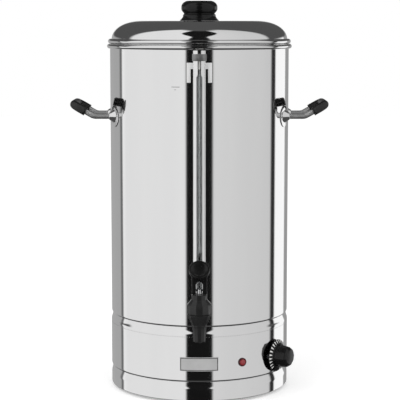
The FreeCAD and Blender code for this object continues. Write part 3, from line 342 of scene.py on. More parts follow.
# %% The finishes
steel = metal("polished_steel", (0.85, 0.85, 0.853), (0.875, 0.875, 0.875), 0.055, 0.075, (6, 6, 0.4), 5.0)
steel_thin = metal("guard_steel", (0.84, 0.84, 0.84), (0.9, 0.9, 0.9), 0.09, 0.14, (30, 30, 1), 12.0)
satin = metal("satin_steel", (0.36, 0.36, 0.36), (0.46, 0.46, 0.46), 0.34, 0.46, (3, 3, 30), 60.0, 0.1)
plate_metal = moulding("plate_steel", (0.42, 0.42, 0.42), (0.5, 0.5, 0.5), 0.3, 0.4, 700.0, 0.05)
zinc = metal("zinc_steel", (0.5, 0.52, 0.55), (0.64, 0.65, 0.66), 0.25, 0.42, (1, 1, 1), 160.0, 0.05)
spring_metal = metal("spring_steel", (0.4, 0.4, 0.42), (0.55, 0.55, 0.56), 0.22, 0.34, (1, 1, 1), 300.0)
element_metal = metal(
    "element_steel", (0.16, 0.15, 0.14), (0.3, 0.29, 0.27), 0.35, 0.55, (1, 1, 1), 90.0, 0.1)
chrome = metal("plated_brass", (0.74, 0.74, 0.75), (0.8, 0.8, 0.8), 0.06, 0.12, (1, 1, 1), 120.0)
brass = metal("terminal_brass", (0.66, 0.5, 0.22), (0.78, 0.62, 0.3), 0.25, 0.38, (1, 1, 1), 200.0)
copper = metal("copper_sensor", (0.6, 0.3, 0.2), (0.75, 0.42, 0.3), 0.28, 0.42, (1, 1, 1), 150.0)
cast_metal = metal("heater_aluminium", (0.5, 0.5, 0.5), (0.66, 0.66, 0.66), 0.42, 0.6, (1, 1, 1), 220.0, 0.3)
black = moulding("black_plastic", (0.004, 0.004, 0.004), (0.008, 0.008, 0.008), 0.16, 0.26, shine=0.3)
grip_black = moulding(
    "grip_plastic", (0.006, 0.006, 0.006), (0.012, 0.012, 0.012), 0.26, 0.36, 1400.0, 0.1, shine=0.42)
control = moulding("control_plastic", (0.03, 0.03, 0.03), (0.06, 0.06, 0.06), 0.5, 0.65)
ivory = moulding("terminal_plastic", (0.62, 0.6, 0.54), (0.74, 0.72, 0.66), 0.4, 0.55)
red = moulding("red_plastic", (0.5, 0.02, 0.02), (0.62, 0.035, 0.03), 0.25, 0.35)
lamp_dark = moulding("lamp_ring", (0.045, 0.006, 0.008), (0.07, 0.009, 0.011), 0.25, 0.35)
silicone = moulding("clear_silicone", (0.58, 0.58, 0.56), (0.7, 0.7, 0.68), 0.4, 0.55)
rubber = moulding("foot_rubber", (0.015, 0.015, 0.015), (0.035, 0.035, 0.035), 0.65, 0.85, 500.0, 0.3)
white_paint = moulding("dial_white", (0.72, 0.72, 0.7), (0.82, 0.82, 0.8), 0.4, 0.5)
rod_steel = metal("rod_steel", (0.72, 0.72, 0.72), (0.8, 0.8, 0.8), 0.4, 0.48, (1, 1, 1), 60.0)
clip_grey = metal("clip_grey", (0.3, 0.3, 0.3), (0.4, 0.4, 0.4), 0.45, 0.6, (1, 1, 1), 200.0, 0.1)
bracket_bright = moulding("bracket_bright", (0.74, 0.74, 0.74), (0.82, 0.82, 0.82), 0.3, 0.4)
panel_black = moulding("panel_black", (0.018, 0.018, 0.018), (0.03, 0.03, 0.03), 0.4, 0.5, 1400.0, 0.1)
weld_grey = metal("weld_grey", (0.45, 0.45, 0.45), (0.55, 0.55, 0.55), 0.3, 0.4, (1, 1, 1), 300.0)
mark_ink = moulding("mark_ink", (0.2, 0.2, 0.2), (0.28, 0.28, 0.28), 0.5, 0.6)
border_ink = moulding("border_ink", (0.02, 0.02, 0.02), (0.03, 0.03, 0.03), 0.5, 0.6)
tap_black = moulding("tap_plastic", (0.009, 0.009, 0.009), (0.015, 0.015, 0.015), 0.24, 0.34, shine=0.45)


# %% Lens and glass
lens_red, lens_tree, lens_shader = new_finish("red_lens")
lens_cloud = place_noise(lens_tree, (1, 1, 1), 260.0)
lens_colour = two_tone(
    lens_tree, spread(lens_tree, lens_cloud, 0.0, 1.0), (0.2, 0.02, 0.025), (0.3, 0.035, 0.04))
lens_tree.links.new(lens_colour, lens_shader.inputs["Base Color"])
lens_tree.links.new(spread(lens_tree, lens_cloud, 0.12, 0.2), lens_shader.inputs["Roughness"])
lens_shader.inputs["Coat Weight"].default_value = 0.4

glass, glass_tree, glass_shader = new_finish("gauge_glass")
glass_cloud = place_noise(glass_tree, (1, 1, 1), 60.0)
glass_tree.links.new(
    two_tone(glass_tree, spread(glass_tree, glass_cloud, 0.0, 1.0), (0.7, 0.71, 0.71), (0.76, 0.77, 0.77)),
    glass_shader.inputs["Base Color"])
glass_tree.links.new(spread(glass_tree, glass_cloud, 0.02, 0.06), glass_shader.inputs["Roughness"])
glass_shader.inputs["Transmission Weight"].default_value = 1.0
glass_shader.inputs["IOR"].default_value = 1.47

slot_finish = {
    "polished_steel": steel, "guard_steel": steel_thin, "satin_steel": satin, "plate_steel": plate_metal,
    "zinc_steel": zinc, "spring_steel": spring_metal, "element_steel": element_metal,
    "plated_brass": chrome, "terminal_brass": brass, "copper_sensor": copper,
    "heater_aluminium": cast_metal, "black_plastic": black, "control_plastic": control,
    "terminal_plastic": ivory, "red_plastic": red, "lamp_ring": lamp_dark, "red_lens": lens_red,
    "gauge_glass": glass, "clear_silicone": silicone, "foot_rubber": rubber}
slot_of = {entry["node"]: entry["material_slot"] for entry in frame["record"]["subparts"]}
for name, node in nodes.items():
    node.data.materials.clear()
    node.data.materials.append(slot_finish[slot_of[name]])
print(len(nodes), "nodes have their finish")


# %% [markdown]
# ## Turned pieces
# Shells, knobs and rings are all turned shapes. By hand one would draw half the outline and
# spin it. The helper does just that: a plane is merged to one point, the outline is extruded
# point by point, and the Spin operator turns it about the piece's axis.

# %% Outline helpers
def arc(centre, radius, start, end, steps=8):
    """Points of a round stretch; centre and points are (across, up), angles are in degrees."""
    points = []
    for index in range(steps + 1):
        turn = math.radians(start + (end - start) * index / steps)
        points.append((centre[0] + radius * math.cos(turn), centre[1] + radius * math.sin(turn)))
    return points


def bezier(p0, p1, p2, p3, steps=16):
    """Points of a cubic curve from p0 to p3."""
    points = []
    for index in range(steps + 1):
        t = index / steps
        weights = ((1 - t) ** 3, 3 * t * (1 - t) ** 2, 3 * t * t * (1 - t), t ** 3)
        points.append(tuple(sum(w * p[k] for w, p in zip(weights, (p0, p1, p2, p3))) for k in (0, 1)))
    return points


def trace(name, points):
    """A chain of edges through points given in millimetres, drawn by extruding one vertex."""
    clear_selection()
    places = [Vector(p) * MM for p in points]
    bpy.ops.mesh.primitive_plane_add(size=1 * MM, location=places[0])
    piece = bpy.context.object
    piece.name = name
    bpy.ops.object.transform_apply(location=True, rotation=False, scale=False)
    bpy.ops.object.mode_set(mode="EDIT")
    bpy.ops.mesh.select_all(action="SELECT")
    bpy.ops.mesh.merge(type="CENTER")
    for here, there in zip(places, places[1:]):
        bpy.ops.mesh.extrude_region_move(TRANSFORM_OT_translate={"value": there - here})
    return piece


def tidy_mesh(merge=0.000005):
    bpy.ops.mesh.select_all(action="SELECT")
    bpy.ops.mesh.remove_doubles(threshold=merge)
    bpy.ops.mesh.normals_make_consistent(inside=False)


def select_only(piece):
    clear_selection()
    piece.select_set(True)
    bpy.context.view_layer.objects.active = piece


def smooth(piece, degrees=35):
    select_only(piece)
    bpy.ops.object.shade_smooth_by_angle(angle=math.radians(degrees))


def lathe(name, outline, steps=128, origin=(0, 0, 0), axis=(0, 0, 1), degrees=35):
    """A closed or axis-to-axis outline of (radius, height) points, spun about an axis."""
    along = Vector(axis).normalized()
    across = along.orthogonal().normalized()
    start = Vector(origin)
    points = [start + across * r + along * h for r, h in outline]
    piece = trace(name, points)
    bpy.ops.mesh.select_all(action="SELECT")
    bpy.ops.mesh.spin(steps=steps, angle=2 * math.pi, center=start * MM, axis=along)
    tidy_mesh()
    bpy.ops.object.mode_set(mode="OBJECT")
    smooth(piece, degrees)
    return piece


def finish_piece(piece, body, finish, slot, *replaced):
    """Gives the piece its finish and its body, and hides the nodes that it stands for."""
    piece.data.materials.clear()
    piece.data.materials.append(finish)
    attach(piece, body)
    if replaced:
        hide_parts(*replaced)
    print(piece.name, len(piece.data.polygons), "faces")


def lifted(outline):
    """Heights measured from the ring's lower edge, raised to stand on the feet."""
    return [(r, h + foot_stand) for r, h in outline]


# %% [markdown]
# ## The tank
# One sheet rolled into a cylinder: a bead rolled outwards at the rim, and a tight round fold
# at the foot where it tucks into the base band. Straight walls get an extra ring just inside
# each end, or smooth shading would tilt the whole wall's reflections.

# %% Tank wall
wall_sheet = 1.0
rim_centre = (133.1, 503.6)
rim_bead = 3.3
fold_radius = 2.7
tank_fold = 110.4
skirt_radius = tank_radius - fold_radius
hold = 0.8                # how far inside a straight wall's end its extra ring lies
tank_outline = [
    (skirt_radius, 90.0), (skirt_radius, tank_fold - fold_radius - hold),
    *arc((skirt_radius, tank_fold), fold_radius, -90, 0, 8),
    (tank_radius, tank_fold + hold), (tank_radius, rim_centre[1] - rim_bead - 1.2),
    *arc(rim_centre, rim_bead, -109.5, 129.5, 26),
    (tank_radius - wall_sheet, rim_centre[1] - 4), (tank_radius - wall_sheet, tank_fold + hold),
    *arc((skirt_radius, tank_fold), fold_radius - wall_sheet, 0, -90, 5),
    (skirt_radius - wall_sheet, tank_fold - 4), (skirt_radius - wall_sheet, 90.0), (skirt_radius, 90.0)]
tank = lathe("tank_shell", lifted(tank_outline), 192)
finish_piece(tank, "urn", steel, "polished_steel", "tank_wall")

# %% [markdown]
# ## Base band and base ring
# Both have the same flared top: a hollow curve out from the skirt of the piece above, then a
# quick round turn into the upright wall. That flare is what pinches the dark stripe.

# %% Band and ring
band_sheet = 0.8
shoulder_rise = 12.0
flare_share = 0.72        # the hollow upper part of the flare
band_lip = skirt_radius + 0.1
band_fold = 30.3
band_top = tank_fold - fold_radius - 0.1
ring_top = 27.1


def shoulder(outer, lip, top, steps=9):
    """From the upright wall over a rounded turn and up a hollow flare to the lip."""
    turn = 2 * math.atan((outer - lip) / shoulder_rise)
    upper = flare_share * shoulder_rise / math.sin(turn)
    lower = (1 - flare_share) * shoulder_rise / math.sin(turn)
    sweep = math.degrees(turn)
    convex = arc((outer - lower, top - shoulder_rise), lower, 0, sweep, steps)
    hollow = arc((lip + upper, top), upper, 180 + sweep, 180, steps)
    return convex + hollow[1:]


band_skirt = band_radius - fold_radius
band_outline = [
    (band_skirt, 14.0), (band_skirt, band_fold - fold_radius - hold),
    *arc((band_skirt, band_fold), fold_radius, -90, 0, 8),
    (band_radius, band_fold + hold), (band_radius, band_top - shoulder_rise - hold),
    *shoulder(band_radius, band_lip + band_sheet, band_top),
    (band_lip, band_top), (band_radius - band_sheet, band_top - shoulder_rise),
    (band_radius - band_sheet, band_fold + hold), (band_skirt, band_fold - fold_radius + band_sheet),
    (band_skirt - band_sheet, band_fold - fold_radius), (band_skirt - band_sheet, 14.0), (band_skirt, 14.0)]
band = lathe("base_band_shell", lifted(band_outline), 192)
finish_piece(band, "urn", steel, "polished_steel", "base_band")

ring_lip = band_skirt + 0.1
ring_outline = [
    (band_radius - 9, 0), *arc((band_radius - 0.8, 0.8), 0.8, -90, 0, 5),
    (band_radius, 0.8 + hold), (band_radius, ring_top - shoulder_rise - hold),
    *shoulder(band_radius, ring_lip + band_sheet, ring_top),
    (ring_lip, ring_top), (band_radius - band_sheet, ring_top - shoulder_rise),
    (band_radius - band_sheet, band_sheet), (band_radius - 9, band_sheet), (band_radius - 9, 0)]
ring = lathe("base_ring_shell", lifted(ring_outline), 192)
finish_piece(ring, "urn", steel, "polished_steel", "base_ring")

# %% [markdown]
# ## The lid
# A drawn dome: nearly flat in the middle, then one long curve down to a neck, and a rolled
# bead that rests on the tank's rim.

# %% Lid
lid_top = 540.4
lid_bead_low, lid_bead_high, lid_bead_radius = 507.2, 514.4, 134.9
lid_sheet = 0.8
bead_half = (lid_bead_high - lid_bead_low) / 2
bead_centre = (lid_bead_radius - bead_half, lid_bead_low + bead_half)
dome = bezier((84, lid_top), (112, lid_top), (128.2, 528.5), (129.6, 515.2), 24)
inner_dome = bezier(
    (84, lid_top - lid_sheet), (111.4, lid_top - lid_sheet), (127.3, 528.1), (128.8, 514.4), 12)
lid_outline = [
    (0.5, lid_top), (60, lid_top), *dome, (129.7, lid_bead_high + 0.15), (130.2, lid_bead_high),
    *arc(bead_centre, bead_half, 90, -90, 14),
    (129.2, lid_bead_low), (129.0, lid_bead_high - lid_sheet),
    *inner_dome[::-1], (60, lid_top - lid_sheet), (0.5, lid_top - lid_sheet), (0.5, lid_top)]
lid = lathe("lid_shell", lifted(lid_outline), 192)
finish_piece(lid, "lid", steel, "polished_steel", "lid_dome")

# %% [markdown]
# The knob is one turned moulding: a foot that narrows to a waist with a small bead, and a wide
# rounded head. Its heights are measured from the top of the lid.

# %% Lid knob
knob_outline = [
    (0, 0.1), (28.6, 0.1), (28.6, 0.7),
    *bezier((28.3, 1.3), (26.0, 3.4), (24.6, 4.8), (24.1, 7.4), 8),
    (24.3, 8.2), (24.2, 9.0), (23.2, 9.6), (22.6, 10.2),
    *bezier((22.5, 10.6), (23.0, 12.2), (26.2, 13.4), (26.7, 17.6), 8)[1:],
    *bezier((26.7, 19.8), (27.0, 24.6), (22.6, 28.6), (17.6, 29.4), 10),
    (9.0, 29.6), (0, 29.6)]
knob = lathe("lid_knob_turned", knob_outline, 96, (0, 0, lid_top + foot_stand), degrees=30)
finish_piece(knob, "lid", black, "black_plastic", "lid_knob")


# %% [markdown]
# ## Bent rods and flat shapes
# Handles are bent rod with a plastic sleeve. A path with rounded corners is traced, turned
# into a curve and given a round bevel. Flat shapes are traced, filled and given thickness.

# %% Path helpers
def rounded_path(points, radii, steps=8):
    """Straight runs joined by arcs; radii has one value for each inner corner."""
    corners = [Vector(p) for p in points]
    path = [corners[0]]
    for index in range(1, len(corners) - 1):
        corner = corners[index]
        back = (corners[index - 1] - corner).normalized()
        ahead = (corners[index + 1] - corner).normalized()
        half = back.angle(ahead) / 2
        radius = radii[index - 1]
        middle = (back + ahead).normalized()
        centre = corner + middle * (radius / math.sin(half))
        start = corner + back * (radius / math.tan(half))
        end = corner + ahead * (radius / math.tan(half))
        for step in range(steps + 1):
            share = step / steps
            arm = (start - centre).normalized().slerp((end - centre).normalized(), share)
            path.append(centre + arm.normalized() * radius)
    path.append(corners[-1])
    return path


def bent_rod(name, path, radius, sides=8):
    """Traces the path, turns it into a curve and bevels it to a round rod with closed ends."""
    piece = trace(name, [tuple(p) for p in path])
    bpy.ops.object.mode_set(mode="OBJECT")
    bpy.ops.object.convert(target="CURVE")
    piece.data.bevel_depth = radius * MM
    piece.data.bevel_resolution = sides
    piece.data.use_fill_caps = True
    bpy.ops.object.convert(target="MESH")
    smooth(piece, 50)
    return piece


def flat_shape(name, outline, place, thickness):
    """A filled outline of (x, z) points standing at y = place, given thickness towards +Y."""
    piece = trace(name, [(x, place, z) for x, z in (*outline, outline[0])])
    bpy.ops.mesh.select_all(action="SELECT")
    bpy.ops.mesh.remove_doubles(threshold=0.000005)
    bpy.ops.mesh.edge_face_add()
    bpy.ops.mesh.select_all(action="SELECT")
    bpy.ops.mesh.extrude_region_move(TRANSFORM_OT_translate={"value": (0, thickness * MM, 0)})
    tidy_mesh()
    bpy.ops.object.mode_set(mode="OBJECT")
    return piece


def apply_modifiers(piece):
    """Applies the piece's modifiers in their order."""
    select_only(piece)
    for name in [modifier.name for modifier in piece.modifiers]:
        bpy.ops.object.modifier_apply(modifier=name)


def soften(piece, width, segments=3, degrees=35):
    """Bevels the sharp edges with a modifier that is applied at once."""
    bevel = piece.modifiers.new("soften", "BEVEL")
    bevel.width = width * MM
    bevel.segments = segments
    bevel.limit_method = "ANGLE"
    bevel.angle_limit = math.radians(30)
    apply_modifiers(piece)
    smooth(piece, degrees)
    return piece


def join_into(piece, other):
    """Makes the other mesh part of the piece."""
    select_only(piece)
    other.select_set(True)
    bpy.ops.object.join()


# %% [markdown]
# ## The handles
# Each handle is one rod bent into a bail: two legs come straight out of pads on the wall, slope
# up and meet in a cross bar. A sleeve covers the bar and both corners, and a flat oval panel is
# moulded into each end of it. A bevelled curve keeps the rod round through every bend.

# %% Handles
handle_height = 402.7 + foot_stand
handle_middle, handle_half_span = -12.0, 34.0
handle_bend_x, handle_reach = 154.0, 182.7
handle_slope = math.radians(30)
handle_top = handle_height + (handle_reach - handle_bend_x) * math.tan(handle_slope)
handle_rod_radius, grip_radius, grip_leg = 4.0, 6.4, 20.0
front_leg, back_leg = handle_middle - handle_half_span, handle_middle + handle_half_span


def wall_at(y, radius):
    return math.sqrt(radius ** 2 - y ** 2)


for name, side in (("left", -1), ("right", 1)):
    reach, bend = side * handle_reach, side * handle_bend_x
    start_x = side * (handle_reach - grip_leg * math.cos(handle_slope))
    start_z = handle_top - grip_leg * math.sin(handle_slope)
    rod_path = rounded_path([
        (side * (wall_at(front_leg, tank_radius) + 0.6), front_leg, handle_height),
        (bend, front_leg, handle_height), (reach, front_leg, handle_top), (reach, back_leg, handle_top),
        (bend, back_leg, handle_height),
        (side * (wall_at(back_leg, tank_radius) + 0.6), back_leg, handle_height)], [14, 11, 11, 14])
    rod = bent_rod(name + "_handle_rod", rod_path, handle_rod_radius)
    finish_piece(rod, "urn", rod_steel, "satin_steel", name + "_handle_tube")
    grip_path = rounded_path([
        (start_x, front_leg, start_z), (reach, front_leg, handle_top),
        (reach, back_leg, handle_top), (start_x, back_leg, start_z)], [11, 11])
    grip = bent_rod(name + "_handle_sleeve", grip_path, grip_radius, 10)
    soften(grip, 0.7, 2, 45)
    finish_piece(grip, "urn", grip_black, "black_plastic", name + "_handle_grip")

# %% [markdown]
# The sleeve's corners have shallow oval panels in front and behind. They could be cut with a
# Boolean, but a thin oval that stands just proud reads the same and leaves the sleeve's mesh
# clean.

# %% Handle side panels
panel_half, panel_radius, panel_proud, panel_depth = 6.6, 4.6, 0.25, 3.2


def sleeve_panel(name, side, y):
    """An oval along the sloping leg, whose near face stands at y."""
    shift_x, shift_z = panel_half * math.cos(handle_slope), panel_half * math.sin(handle_slope)
    middle_x, middle_z = handle_reach - shift_x, handle_top - shift_z
    tilt = math.degrees(handle_slope)
    outer = arc((0, 0), panel_radius, tilt - 90, tilt + 90, 14)
    inner = arc((0, 0), panel_radius, tilt + 90, tilt + 270, 14)
    outline = [(middle_x + shift_x + x, middle_z + shift_z + z) for x, z in outer]
    outline += [(middle_x - shift_x + x, middle_z - shift_z + z) for x, z in inner]
    outline = [(side * x, z) for x, z in outline]
    panel = flat_shape(name, outline, y, panel_depth)
    return soften(panel, 0.4, 2)


for name, side in (("left", -1), ("right", 1)):
    front = sleeve_panel(name + "_front_panel", side, front_leg - grip_radius - panel_proud)
    finish_piece(front, "urn", panel_black, "black_plastic")
    back = sleeve_panel(name + "_back_panel", side, back_leg + grip_radius + panel_proud - panel_depth)
    finish_piece(back, "urn", panel_black, "black_plastic")

# %% [markdown]
# Each leg ends in a round steel pad that lies on the tank, with an eight-sided boss round the
# rod. The pad is turned as a flat disc, and then every vertex is pushed out onto the wall.

# %% Handle pads
pad_radius, pad_sheet, boss_radius = 16.0, 1.2, 11.5
pad_rings = [4, 7, 10, 13, 15.4]     # enough rings to lie on the round wall
plate_outline = [
    (0.5, 0), *[(r, 0) for r in pad_rings], (pad_radius, 0.35), (pad_radius, 0.9),
    *[(r, pad_sheet) for r in pad_rings[::-1]], (0.5, pad_sheet), (0.5, 0)]
boss_outline = [
    (4.2, -3), (boss_radius, -3), (boss_radius - 1.6, 0.5), (7.0, 4.6), (5.9, 6.4),
    (5.4, 7.4), (4.2, 7.8), (4.2, -3)]
for name, side in (("left", -1), ("right", 1)):
    for place, leg in (("front", front_leg), ("back", back_leg)):
        plate = lathe(name + "_pad_" + place, plate_outline, 64, (0, leg, handle_height), (side, 0, 0))
        for vertex in plate.data.vertices:
            on_wall = wall_at(vertex.co.y / MM, tank_radius + 0.1) * MM
            vertex.co.x += side * on_wall
        smooth(plate)
        boss_place = (side * wall_at(leg, tank_radius), leg, handle_height)
        boss = lathe(name + "_boss_" + place, boss_outline, 8, boss_place, (side, 0, 0), 20)
        soften(boss, 0.5, 2, 30)
        join_into(plate, boss)
        if place == "front":
            finish_piece(plate, "urn", steel_thin, "polished_steel", name + "_handle_pads")
        else:
            finish_piece(plate, "urn", steel_thin, "polished_steel")

# %% [markdown]
# ## The gauge
# A bright channel stands in front of the glass tube. It has a narrow slit at the top that
# opens into the window through a short Y. A matt clip and a small bracket hold its top. Half of
# the channel's section is traced and extruded upwards in three stages. A Solidify and a Mirror
# modifier make the rest, so both edges of the window match.

# %% Guard
gauge_y = -141.5
guard_half, guard_front, guard_back = 8.65, -149.8, -133.5
guard_foot, guard_top = 156.1 + foot_stand, 499.8 + foot_stand
window_half, window_top = 4.15, 463.0 + foot_stand
slit_half, slit_foot = 1.25, 468.0 + foot_stand
guard_corner, guard_sheet = 5.5, 1.0
corner_centre = (-guard_half + guard_corner, guard_front + guard_corner)
lip_turn = math.degrees(math.acos((window_half - (guard_half - guard_corner)) / guard_corner))
guard_line = arc(corner_centre, guard_corner, 180 + lip_turn, 180, 8)
guard_line = guard_line + [(-guard_half, guard_front + guard_corner + 0.8), (-guard_half, guard_back)]
guard = trace("gauge_channel", [(x, y, guard_foot) for x, y in guard_line])
for rise in (window_top - guard_foot, slit_foot - window_top, guard_top - slit_foot):
    bpy.ops.mesh.select_all(action="DESELECT")
    bpy.ops.object.mode_set(mode="OBJECT")
    height = max(v.co.z for v in guard.data.vertices)
    for edge in guard.data.edges:
        edge.select = all(abs(guard.data.vertices[i].co.z - height) < 1e-6 for i in edge.vertices)
    bpy.ops.object.mode_set(mode="EDIT")
    bpy.ops.mesh.extrude_region_move(TRANSFORM_OT_translate={"value": (0, 0, rise * MM)})
bpy.ops.object.mode_set(mode="OBJECT")
for vertex in guard.data.vertices:
    if vertex.co.z > (window_top + 1) * MM and vertex.co.x > (-window_half - 0.05) * MM:
        vertex.co.x = -slit_half * MM
        vertex.co.y = guard_front * MM
wall = guard.modifiers.new("wall", "SOLIDIFY")
wall.thickness = guard_sheet * MM
wall.offset = 1
twin = guard.modifiers.new("twin", "MIRROR")
twin.use_axis = (True, False, False)
apply_modifiers(guard)
print("the guard is", round(guard.dimensions.x / MM, 2), "mm wide")
smooth(guard, 30)
finish_piece(guard, "urn", steel_thin, "guard_steel", "gauge_guard")

# %% [markdown]
# The clip is a strip bent round the channel. Its line is traced as seen from above, with two
# arcs for its corners, and extruded upwards.

# %% Clip
clip_proud, clip_sheet, clip_corner = 1.4, 1.3, 6.8
clip_half = guard_half + clip_proud
clip_front = guard_front - clip_proud
clip_line = [(-clip_half, guard_back)]
clip_line += arc((-clip_half + clip_corner, clip_front + clip_corner), clip_corner, 180, 270, 8)
clip_line += arc((clip_half - clip_corner, clip_front + clip_corner), clip_corner, 270, 360, 8)
clip_line += [(clip_half, guard_back)]
clip_low, clip_high = 485.5 + foot_stand, 495.1 + foot_stand
clip = trace("gauge_clip_band", [(x, y, clip_low) for x, y in clip_line])
bpy.ops.mesh.select_all(action="SELECT")
bpy.ops.mesh.extrude_region_move(TRANSFORM_OT_translate={"value": (0, 0, (clip_high - clip_low) * MM)})
bpy.ops.object.mode_set(mode="OBJECT")
clip_wall = clip.modifiers.new("wall", "SOLIDIFY")
clip_wall.thickness = clip_sheet * MM
clip_wall.offset = -1
apply_modifiers(clip)
soften(clip, 0.3, 2)
finish_piece(clip, "urn", clip_grey, "satin_steel", "gauge_clip")

# %% [markdown]
# The bracket is an arch of flat sheet behind the channel. It is drawn flat, with a few points
# along its bar to bend at, and then moved back onto the round wall.

# %% Bracket
bracket_half, bracket_leg, bracket_front, bracket_sheet = 17.7, 5.6, -133.3, 1.2
bracket_top, bracket_bar, bracket_low = (z + foot_stand for z in (482.7, 474.0, 455.0))
inner_half = bracket_half - bracket_leg
bends = [-inner_half, -6, 0, 6, inner_half]
bracket_outline = [
    (-bracket_half, bracket_low), (-bracket_half, bracket_top),
    *[(x, bracket_top) for x in bends], (bracket_half, bracket_top),
    (bracket_half, bracket_low), (inner_half, bracket_low),
    *[(x, bracket_bar) for x in bends[::-1]], (-inner_half, bracket_low)]
bracket = flat_shape("gauge_bracket_plate", bracket_outline, bracket_front, bracket_sheet)
for vertex in bracket.data.vertices:
    vertex.co.y += (tank_radius - wall_at(vertex.co.x / MM, tank_radius)) * MM
soften(bracket, 0.3, 2)
finish_piece(bracket, "urn", bracket_bright, "polished_steel", "gauge_bracket")

# %% [markdown]
# The sight glass is a plain clear tube, turned with an extra ring near each end.

# %% Gauge glass
glass_low, glass_high, glass_radius, glass_bore = 148.0, 480.0, 5.0, 3.8
glass_outline = [
    (glass_bore, glass_low), (glass_radius, glass_low), (glass_radius, glass_low + 1),
    (glass_radius, glass_high - 1), (glass_radius, glass_high), (glass_bore, glass_high),
    (glass_bore, glass_high - 1), (glass_bore, glass_low + 1), (glass_bore, glass_low)]
glass_tube = lathe("gauge_glass_tube", lifted(glass_outline), 48, (0, gauge_y, 0))
finish_piece(glass_tube, "urn", glass, "gauge_glass", "gauge_glass")

# %% [markdown]
# ## The tap
# A black moulded tap: a tapering nozzle under a round body, a faceted bonnet with a plain
# collar, and a lever with a forked neck and a dished, tilted head. Body and bonnet are turned in
# twelve sides, and a bevel takes the sharpness off.

# %% Tap body and bonnet
tap_y, arm_height = -174.0, 128.0 + foot_stand
tap_outline = [
    (6.5, 97.1), (8.0, 97.1), (8.8, 97.7), (8.9, 99.0), (9.2, 106.0), (9.6, 113.0), (10.3, 118.5),
    *bezier((10.3, 118.5), (11.2, 122.6), (13.0, 125.4), (14.6, 129.2), 6)[1:],
    (16.0, 132.6), (16.8, 135.0), (17.0, 136.0), (11.0, 136.0), (11.0, 119.5), (6.5, 119.5), (6.5, 97.1)]
tap_body = lathe("tap_moulding", lifted(tap_outline), 12, (0, tap_y, 0), degrees=20)
soften(tap_body, 0.7, 3, 40)
finish_piece(tap_body, "urn", tap_black, "black_plastic", "tap_body")
bonnet_outline = [
    (9.4, 136.1), (16.6, 136.1), (17.6, 138.0), (17.9, 142.0), (17.5, 149.0), (16.9, 150.6), (12.4, 155.4),
    (11.5, 157.0), (11.5, 163.2), (10.8, 164.0), (3.1, 164.0), (3.1, 151.0), (9.4, 151.0), (9.4, 136.1)]
bonnet = lathe("tap_bonnet_moulding", lifted(bonnet_outline), 12, (0, tap_y, 0), degrees=20)
soften(bonnet, 0.6, 3, 40)
finish_piece(bonnet, "urn", tap_black, "black_plastic", "tap_bonnet")
arm_outline = [(5.0, 0), (7.8, 0), (7.8, 19.6), (8.6, 19.9), (5.0, 19.9), (5.0, 0)]
tap_arm = lathe("tap_arm", arm_outline, 48, (0, tap_y, arm_height), (0, 1, 0))
finish_piece(tap_arm, "urn", black, "black_plastic")

# %% [markdown]
# The lever is one moulding: a flat fork that straddles the stem, and a round dished head that
# tilts forwards. The fork is a filled outline and the head is turned. Both become one mesh.

# %% Lever
fork_outer, fork_inner, fork_half_depth, fork_corner = 10.9, 4.6, 4.0, 4.0
pin_height, window_roof, neck_top, head_height = (z + foot_stand for z in (170.0, 182.4, 194.0, 198.2))
fork_foot = pin_height - 5.6
corner_height = neck_top - fork_corner
fork_outline = [(-fork_outer, fork_foot + 1.5), (-fork_outer, corner_height)]
fork_outline += arc((-fork_outer + fork_corner, corner_height), fork_corner, 180, 90, 6)
fork_outline += arc((fork_outer - fork_corner, corner_height), fork_corner, 90, 0, 6)
fork_outline += [(fork_outer, fork_foot + 1.5), (fork_outer - 1.5, fork_foot), (fork_inner, fork_foot)]
fork_outline += arc((0, window_roof - fork_inner), fork_inner, 0, 180, 12)
fork_outline += [(-fork_inner, fork_foot), (-fork_outer + 1.5, fork_foot)]
fork = flat_shape("tap_lever_fork", fork_outline, tap_y - fork_half_depth, 2 * fork_half_depth)
soften(fork, 0.8, 3)
head_outline = [
    (0, -2.5), (12.6, -2.5), *arc((12.85, -0.5), 2.0, -90, 0, 5), (14.85, 1.0),
    *arc((13.35, 1.0), 1.5, 0, 90, 5), (11.9, 2.5), *bezier((11.4, 2.4), (9.5, 1.5), (5.0, 1.3), (0, 1.3), 8)]
tilt = math.radians(45)
head_axis = (0, -math.sin(tilt), math.cos(tilt))
head = lathe("tap_lever_head", head_outline, 96, (0, tap_y, head_height), head_axis)
join_into(head, fork)
finish_piece(head, "tap_lever", black, "black_plastic", "tap_lever")

# %% [markdown]
# ## The dial, lamp and plate
# The dial stands on the band to the right: a cone-shaped skirt with white marks, and a ten-sided
# grip. The lamp is a red lens in a dark ring. The plate is a bare satin label with a thin dark
# border. Its finish and the bracket's are matt, because a mirror there would show the dark gap.

# %% Dial
def outward(angle):
    turn = math.radians(angle)
    return Vector((math.sin(turn), -math.cos(turn), 0))


dial_angle, dial_height = 56.5, 53.6 + foot_stand
dial_out = outward(dial_angle)
dial_place = tuple(dial_out * (band_radius + 3.0) + Vector((0, 0, dial_height)))
cone_foot, cone_top = (23.4, 1.3), (16.9, 4.4)     # where the skirt's cone starts and ends
skirt_outline = [
    (3.1, 0), (20.5, 0), (20.5, 0.4), (22.9, 0), (23.5, 0.5), cone_foot,
    cone_top, (16.4, 4.9), (3.1, 4.9), (3.1, 0)]
dial = lathe("dial_skirt", skirt_outline, 96, dial_place, dial_out, 25)
grip_outline = [
    (0, 4.6), (16.2, 4.6), (16.1, 8.0), (15.6, 13.0), (15.0, 18.6), (14.6, 20.6),
    (12.4, 22.8), (11.2, 23.6), (0, 24.4)]
dial_grip = lathe("dial_grip", grip_outline, 10, dial_place, dial_out, 12)
soften(dial_grip, 0.8, 3, 30)
join_into(dial, dial_grip)
finish_piece(dial, "dial", black, "black_plastic", "dial_knob")

# %% [markdown]
# The scale is a row of plain wedge marks on the cone. One wedge is drawn just off its surface,
# and the Spin operator copies it round, stopping short of a full turn.

